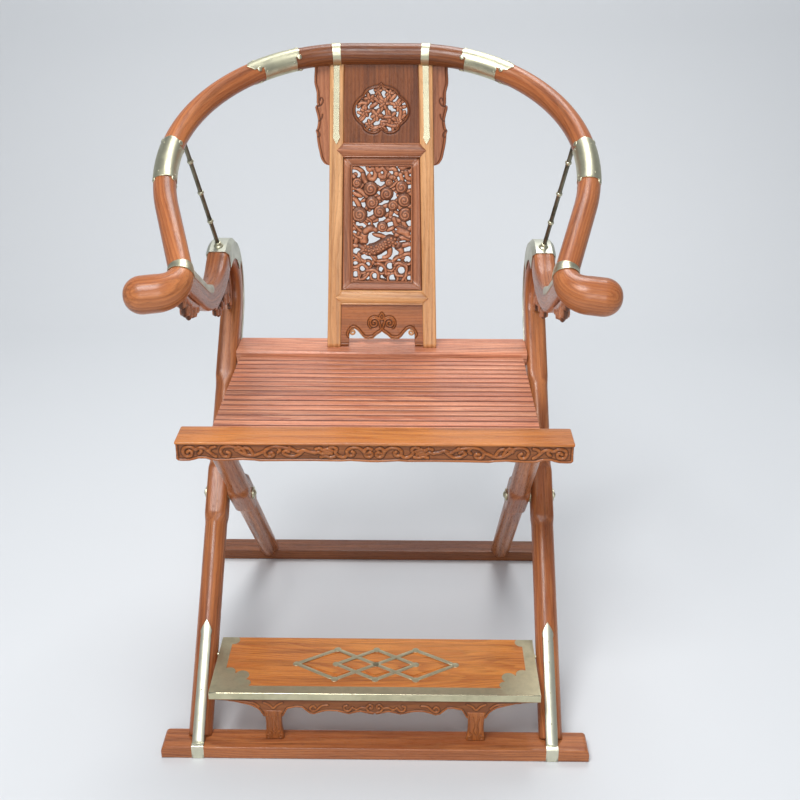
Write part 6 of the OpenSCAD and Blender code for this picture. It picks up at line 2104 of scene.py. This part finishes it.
@dataclass
class Brackets:
    """The carved scrolls in the arch of the branch and behind the arm's curl."""

    lay: Layout
    neck_thick: float = 4.5
    curl_thick: float = 7.0

    def in_side_plane(self, origin: tuple[float, float], turn: float) -> Callable[[np.ndarray], np.ndarray]:
        """A map from flat (a, depth, b) to the side plane: depth across x, (a, b) turned onto (y, z)."""

        def place(p: np.ndarray) -> np.ndarray:
            """Flat points in the side plane."""
            q = turned(p[:, [0, 2]], turn)
            return np.stack([self.lay.arm_x + p[:, 1], origin[0] + q[:, 0], origin[1] + q[:, 1]], 1)

        return place

    def scroll(self, points: Points, width: Sequence[float], depth: float) -> Shell:
        """One carved scroll stem through points in the bracket's plane."""
        return carved_line(curve_through(points, 8), width, depth, 0.0, 12)

    def neck(self, legs: Legs) -> Shell:
        """Scrolls that fill the arch: a curved board along the bend with cusped leaves below.

        Args:
            legs: The legs, for the branch and its bend.

        Returns:
            The right bracket.
        """
        d = self.neck_thick
        a = np.radians(np.linspace(-50, 121, 60))
        rim = np.stack([52 * np.cos(a), 52 * np.sin(a)], 1)
        out = [carved_line(rim, (2, 9, 9, 9, 9), d, 0.0, 12)]
        out.append(self.scroll([(-20, 46), (-44, 36), (-70, 22), (-96, 14), (-118, 16)], (9, 12, 12, 9, 4),
                               d))
        for x, z, r, start, way in NECK_SCROLLS:
            out.append(ball((x, 0, z), (r, d, r * 0.9), n=8))
            out.append(carved_line(spiral(x, z, r * 0.8, 1.5, start, way), (1.6, 1.4, 1.8), d + 1.6, 0.0,
                                   8))
        for x, z, rx, rz, lean in NECK_LEAVES:
            out.append(ball((x, 0, z), (rx, d * 0.8, rz), lean, 8))
        return joined(out).mapped(self.in_side_plane(legs.bend_centre, 0.0))

    def curl(self, legs: Legs) -> Shell:
        """A hanging scroll of leaves under the branch, behind the curl.

        Args:
            legs: The legs, for the branch and its bend.

        Returns:
            The right bracket.
        """
        d = self.curl_thick
        p = legs.branch_path()
        tip = p[np.argmax(p[:, 3] >= p[-1, 3] - 176)]
        out = [self.scroll([(26, 24), (60, 27), (100, 29), (140, 27), (166, 24)], (5, 7, 8, 7, 4), d)]
        for x, z, r, start, way in CURL_SCROLLS:
            out.append(ball((x, 0, z), (r, d * 0.85, r * 0.95), n=8))
            out.append(carved_line(spiral(x, z, r * 0.8, 1.5, start, way), (1.7, 1.5, 1.9), d + 1.0, 0.0,
                                   8))
        return joined(out).mapped(self.in_side_plane((tip[0], tip[1]), math.degrees(tip[2])))

    def build(self, shop: Workshop, legs: Legs) -> None:
        """Makes both pairs of brackets."""
        dark = shop.palette.wood(CARVED)
        for name, shell, node, thick in (("neck_bracket_wood", self.neck(legs), "neck_brackets",
                                          self.neck_thick),
                                         ("curl_bracket_wood", self.curl(legs), "curl_brackets",
                                          self.curl_thick)):
            piece = melted(name, both_sides([shell]), 1.3)
            # Painted shade: darker towards the bracket's middle plane, on its edges and between the
            # scrolls.
            out = np.abs(np.abs(points_of(piece.data)[:, 0] / MM) - self.lay.arm_x)
            set_shade_relief(piece, 0.25 + (out - 0.4 * thick) / (0.75 * thick))
            shop.fit(piece, dark, Slot.CARVED_WOOD, stands_for=[node])


@dataclass
class Footrest:
    """The tilting board with its brass border and inlay, and the scalloped skirt on two feet."""

    lay: Layout
    front: float = -301.9
    depth: float = 146.0
    top: float = 120.0
    thick: float = 12.5
    length: float = 536.0
    feet: float = 165.5

    def low_edge(self, x: np.ndarray) -> np.ndarray:
        """Lower edge of the skirt: cusped lobes between the feet, brackets that run out to the ends.

        Args:
            x: Distances from the middle.

        Returns:
            Heights over the floor.
        """
        at = np.array([0, 3, 10, 23, 33, 42, 52, 61, 72, 80, 90, 99, 106, 111, 118, 128, 142, 150, 181, 186,
                       191, 199, 213, 232, 249, 264])
        drop = np.array([20.5, 22.5, 21.5, 18.8, 20.5, 22.5, 20.5, 18.6, 18.0, 18.4, 20.5, 23.0, 22.0, 18.5,
                         13.5, 13.0, 15.5, 27, 27, 19.5, 15.5, 11.8, 8.6, 5.0, 3.6, 3.0])
        return self.top - self.thick - 1.42 * np.interp(np.abs(x), at, drop)

    def skirt(self) -> Shell:
        """The skirt's relief field, closed by its back."""
        half = self.length / 2 - 4
        z1, y0 = self.top - self.thick - 0.2, self.front + 3
        x = np.linspace(-half, half, 900)
        low = self.low_edge(x)
        f = np.concatenate([[0.0, 0.03], np.linspace(0.08, 1.0, 30)])
        z = low[:, None] + f[None] * (z1 - low)[:, None]
        xx = np.broadcast_to(x[:, None], z.shape)
        lines = [curve_through([(a, z1 + 1.4 * b - 1.0) for a, b in points], 6) for points in SKIRT_LEAVES]
        rim = (np.stack([x, low + 1.7], 1)[::3], 1.6, 1.5)
        strokes = [rim, *mirrored_too([(line, 1.8, 1.8) for line in lines])]
        h = relief_of(xx, z, strokes)
        halo = relief_of(xx, z, widened(strokes, 1.3))
        crease = np.where(h < 0.4, halo, 0.0) * (1 - np.clip(h / 0.4, 0, 1))
        y = y0 + 1.7 - h + 0.4 * crease + np.where((f < 0.02)[None], 1.0, 0.0)
        # Painted light and shade: raised leaves lighter, creases round them and the band under the board
        # darker.
        tone = np.clip(0.55 + 0.45 * np.clip(h / 1.4, 0, 1) - 0.85 * crease, 0.05, 1)
        tone *= np.clip(0.15 + (z1 - z) / 9.0, 0, 1)
        return relief_board(np.stack([xx, y, z], -1), y0 + 13.5, 6, tone)

    def inlay(self) -> Shell:
        """Three interlaced lozenges of flat brass strip, a small round knob at every corner."""
        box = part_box("footrest_inlay")
        cy = float(box[0][1] + box[1][1]) / 2 / MM
        a, b = 66.4, 1.18 * float(box[1][1] - box[0][1]) / 2 / MM
        z = self.top + 0.22
        out = []
        for k in (-1, 0, 1):
            tips = [(k * a - a, 0), (k * a, b), (k * a + a, 0), (k * a, -b), (k * a - a, 0)]
            for p, q in zip(tips[:-1], tips[1:]):
                line = np.linspace(p, q, 12) + np.array([0, cy])
                out.append(carved_line(line, (3.8, 3.8), 0.45, 0.0, 8))
            out += [ball((x, 0.0, y + cy), (6.2, 0.6, 6.2), n=8) for x, y in tips[:-1]]
        return joined(out).mapped(lambda p: np.stack([p[:, 0], p[:, 2], z - 0.25 + p[:, 1]], 1))

    def edge_bead(self) -> Shell:
        """A thin bright bead along the upper front edge of the border."""
        half = self.length / 2 - 1.0
        x = np.linspace(-half, half, 40)
        path = np.stack([x, np.full_like(x, self.front + 1.2), np.full_like(x, self.top - 0.9)], 1)
        return carried(path, Y_AXIS, Z_AXIS, oval(np.full_like(x, 1.3), 1.3, 2.0, 14))

    def foot(self) -> Shell:
        """A little foot: a waisted post that spreads into two scrolls on the runner, carved in front."""
        z0, z1 = self.lay.runner_height + 0.3, self.top - self.thick - 26
        x, y0 = self.feet, self.front + 9.5
        z = np.linspace(z0 + 0.2, z1, 50)
        t = (z - z0) / (z1 - z0)
        waist = 13.4 + 2.1 * np.exp(-((t / 0.2) ** 2)) - 0.6 * np.exp(-(((t - 0.5) / 0.2) ** 2))
        half = waist + 2.0 * smoothstep((t - 0.72) / 0.28)
        deep = 6.0 + 0.4 * np.exp(-((t / 0.12) ** 2))
        path = np.stack([np.full_like(z, x), np.full_like(z, y0), z], 1)
        parts = [carried(path, X_AXIS, Y_AXIS, oval(half, deep, 8.0, 44))]
        for side in (-1, 1):
            curls = (spiral(x + side * 10.0, z0 + 6.5, 5.4, 1.5, 90, side),
                     curve_through([(x + side * 5, z0 + 12), (x + side * 10.5, z0 + 18),
                                    (x + side * 11, z0 + 32), (x + side * 12.5, z1 - 3)], 8),
                     curve_through([(x, z0 + 10), (x + side * 4, z0 + 20), (x + side * 2, z0 + 32),
                                    (x + side * 6, z1 - 6)], 8))
            parts += [carved_line(c, (1.3, 1.2, 1.3), 1.5, y0 - 5.9, 8) for c in curls]
        return joined(parts)

    def build(self, shop: Workshop) -> None:
        """Makes the skirt and feet and dresses the board, border, inlay and pins.

        Args:
            shop: Dresses the pieces.
        """
        wood, aged = shop.palette.wood(GOLDEN_DEEP), shop.palette.metal(AGED)
        bright, body = shop.palette.metal(POLISHED), Body.FOOTREST
        shop.make("skirt_wood", self.skirt(), wood, Slot.LIGHT_WOOD, body, ["footrest_skirt"])
        shop.make("little_feet_wood", both_sides([self.foot()]), wood, Slot.LIGHT_WOOD, body)
        shop.dress("footrest_board", shop.palette.wood(BOARD, Grain.X))
        shop.dress("footrest_edging", aged)
        shop.make("inlay_brass", self.inlay(), aged, Slot.PALE_BRASS, body, ["footrest_inlay"])
        shop.make("edge_bead_brass", self.edge_bead(), bright, Slot.PALE_BRASS, body)
        shop.dress("footrest_pins", shop.palette.metal(BRASS))


@dataclass
class BrassMounts:
    """Plates, straps, strips and pins whose solids stay, with their nails."""

    lay: Layout

    def strip_nails(self) -> Shell:
        """Nail heads down the strips on the arm legs."""
        n = self.lay.arm_front
        out = []
        for s in (34.0, 84.0, 134.0, 168.0):
            at = self.lay.arm_foot + self.lay.arm_dir * s + n * (self.lay.arm_radius + 1.9)
            out.append(lathe([(-0.5, 1.4), (0.15, 1.3), (0.5, 0.8), (0.6, 0.1)], at, n, 10))
        return both_sides(out)

    def leg_strip(self) -> Shell:
        """A strip wrapped on the front of the arm leg, its upper end an ogee point.

        Each station is an arc of the leg's circle; the half width follows the outline.
        """
        s = np.concatenate([np.linspace(-1.0, 168, 44), np.linspace(170, 200, 40)])
        half = np.interp(s, [10, 168, 173, 178, 182, 188, 194, 198, 200],
                         [10.2, 9.2, 8.6, 9.6, 10.0, 7.6, 4.0, 1.2, 0.2])
        r0, r1 = self.lay.arm_radius + 0.9, self.lay.arm_radius + 1.9
        q = np.linspace(-1, 1, 17)
        turn = half[:, None] * q[None] / r1
        outer = np.stack([np.sin(turn) * r1, np.cos(turn) * r1], -1)
        inner = np.stack([np.sin(turn) * r0, np.cos(turn) * r0], -1)[:, ::-1]
        path = self.lay.arm_foot + s[:, None] * self.lay.arm_dir
        return carried(path, X_AXIS, self.lay.arm_front, np.concatenate([outer, inner], 1))

    def runner_strap(self) -> Shell:
        """The strip's lower end: a flat plate over the runner's top and down its front."""
        y0, top = -self.lay.foot_y - self.lay.runner_depth / 2, self.lay.runner_height
        y = np.array([y0 + 34, y0 + 16, y0 + 2.6, y0 + 1.4, y0 + 0.8, y0 + 0.55, y0 + 0.55, y0 + 0.55])
        z = np.array([top + 1.0, top + 1.0, top + 1.0, top + 0.7, top + 0.1, top - 1.2, 12.0, 1.5])
        step = np.gradient(np.stack([y, z], 1), axis=0)
        step /= np.linalg.norm(step, axis=1, keepdims=True)
        side = np.stack([np.zeros(8), -step[:, 1], step[:, 0]], 1)
        path = np.stack([np.full(8, self.lay.arm_x), y, z], 1)
        return carried(path, X_AXIS, side, oval(np.full(8, 10.0), 0.5, 12.0, 32))

    def strap(self, legs: Legs) -> Shell:
        """A leaf of brass over the branch's inner top edge, from behind the ring into the dip.

        It follows the branch's superellipse, 0.7 mm proud of it, between two angles that close in
        a half circle at the dip.

        Args:
            legs: The legs, for the branch's axis and section.

        Returns:
            The right leaf, closed inside the wood.
        """
        p = legs.branch_path()
        s = np.linspace(p[-1, 3] - 226, p[-1, 3] - 55, 80)
        y, z, h = (np.interp(s, p[:, 3], p[:, i]) for i in range(3))
        spread = np.sqrt(np.clip(1 - (1 - np.clip((s - s[0]) / 14, 0, 1)) ** 2, 0.01, 1))
        a = math.radians(54) + math.radians(48) * spread[:, None] * np.linspace(-1, 1, 24)
        k = 2 / legs.squareness
        arcs = []
        for out in (0.7, -1.5):
            w, d = legs.half_width(1.0, legs.slimmed(y))[:, None] + out, legs.stem_depth + out
            arcs.append(np.stack([-w * np.sign(np.cos(a)) * np.abs(np.cos(a)) ** k,
                                  -d * np.abs(np.sin(a)) ** k], -1))
        path = np.stack([np.full_like(y, self.lay.arm_x), y, z], 1)
        across = np.stack([np.zeros_like(h), -np.sin(h), np.cos(h)], 1)
        return carried(path, X_AXIS, across, np.concatenate([arcs[0], arcs[1][:, ::-1]], 1))

    def build(self, shop: Workshop, legs: Legs) -> None:
        """Dresses the brass solids, adds the leg strips, the straps and the nails.

        Args:
            shop: Dresses the pieces.
            legs: The legs, for the branch and its bend.
        """
        brass, grey, strip = (shop.palette.metal(finish) for finish in (BRASS, PATINA, STRIP))
        shop.dress("pivot_pins", brass)
        shop.dress("leg_strips", strip)
        shop.dress("elbow_plates", grey)
        strips = both_sides([self.leg_strip(), self.runner_strap()])
        shop.make("leg_strip_brass", strips, strip, Slot.PALE_BRASS)
        leaf = both_sides([self.strap(legs)])
        shop.make("branch_strap_brass", leaf, grey, Slot.PALE_BRASS, stands_for=["branch_straps"])
        shop.make("strip_nails_brass", self.strip_nails(), brass, Slot.PALE_BRASS)


@dataclass(frozen=True)
class Studio:
    """Pale floor, soft light and the camera at the photograph's angle."""

    camera_at: tuple[float, float, float] = (0.0614, -1.6714, 1.2662)
    looks: tuple[float, float, float] = (-0.0133, 0.9097, -0.4151)
    lens: float = 48.18
    floor: tuple[float, float, float] = (0.66, 0.68, 0.70)
    world: tuple[float, float, float] = (0.92, 0.95, 1.0)
    ambient: float = 0.34
    middle: tuple[float, float, float] = (0, 0, 0.55)
    lamps: tuple[tuple[str, Colour, float, float],
                 ...] = (("key", (-0.7, -1.6, 3.3), 1.5, 80.0), ("fill", (0.0, -3.3, 1.82), 1.7, 36.0),
                    ("back", (0.3, 1.5, 3.4), 1.6, 52.0))

    def cove(self) -> bpy.types.Object:
        """Floor and wall as one sheet: flat, a quarter round of radius 0.9 m, then upright."""
        a = np.linspace(0, math.pi / 2, 24)
        y = np.concatenate([[-9.0], 1.6 + 0.9 * np.sin(a), [2.5]])
        z = np.concatenate([[0.0], 0.9 * (1 - np.cos(a)), [7.0]])
        x = np.array([-9.0, 9.0])
        points = np.stack([np.repeat(x, len(y)), np.tile(y, 2), np.tile(z, 2)], 1)
        i = np.arange(len(y) - 1)
        faces = np.stack([i, i + len(y), i + len(y) + 1, i + 1], 1)
        mesh = bpy.data.meshes.new("floor")
        mesh.from_pydata(points.tolist(), [], faces.tolist())
        mesh.polygons.foreach_set("use_smooth", np.ones(len(faces), bool))
        return linked("floor", mesh)

    def place(self, name: str, data: bpy.types.ID, at: Sequence[float], way: Vector) -> bpy.types.Object:
        """Puts a lamp or camera in the scene and points it.

        Args:
            name: Its name.
            data: The lamp or camera.
            at: Its place in metres.
            way: The direction that it looks in.

        Returns:
            The staged object.
        """
        obj = linked(name, data)
        obj.location = at
        obj.rotation_mode = "QUATERNION"
        obj.rotation_quaternion = way.to_track_quat("-Z", "Y")
        return obj

    def build(self) -> None:
        """Makes the floor, the lamps, the world and the camera."""
        ground = self.cove()
        mat = bpy.data.materials.new("pale_floor")
        mat.use_nodes = True
        shade = mat.node_tree.nodes["Principled BSDF"]
        shade.inputs["Base Color"].default_value = (*self.floor, 1)
        shade.inputs["Roughness"].default_value = 0.6
        ground.data.materials.append(mat)
        for name, at, size, power in self.lamps:
            light = bpy.data.lights.new(name, "AREA")
            light.shape, light.size, light.energy = "DISK", size, power
            self.place(name, light, at, Vector(self.middle) - Vector(at))
        world = bpy.data.worlds.new("soft_room")
        world.use_nodes = True
        bpy.context.scene.world = world
        sky = world.node_tree.nodes["Background"]
        sky.inputs["Color"].default_value = (*self.world, 1)
        sky.inputs["Strength"].default_value = self.ambient
        lens = bpy.data.cameras.new("camera")
        lens.lens, lens.sensor_width = self.lens, 36.0
        lens.clip_start, lens.clip_end = 0.05, 100
        bpy.context.scene.camera = self.place("camera", lens, self.camera_at, Vector(self.looks))
        bpy.context.scene.view_settings.view_transform = "Standard"


def main() -> None:
    """Builds every sub-assembly in order, then the studio."""
    logging.basicConfig(level=logging.INFO, format="%(name)s: %(message)s")
    shop = Workshop(Palette())
    lay = Layout()
    Base(lay).build(shop)
    legs = Legs(lay)
    legs.build(shop)
    shoe = Horseshoe()
    shoe.build(shop)
    BraceRods(lay).build(shop, shoe, legs)
    Splat().build(shop)
    Seat(lay).build(shop)
    Brackets(lay).build(shop, legs)
    Footrest(lay).build(shop)
    BrassMounts(lay).build(shop, legs)
    Studio().build()


if __name__ == "__main__":
    main()
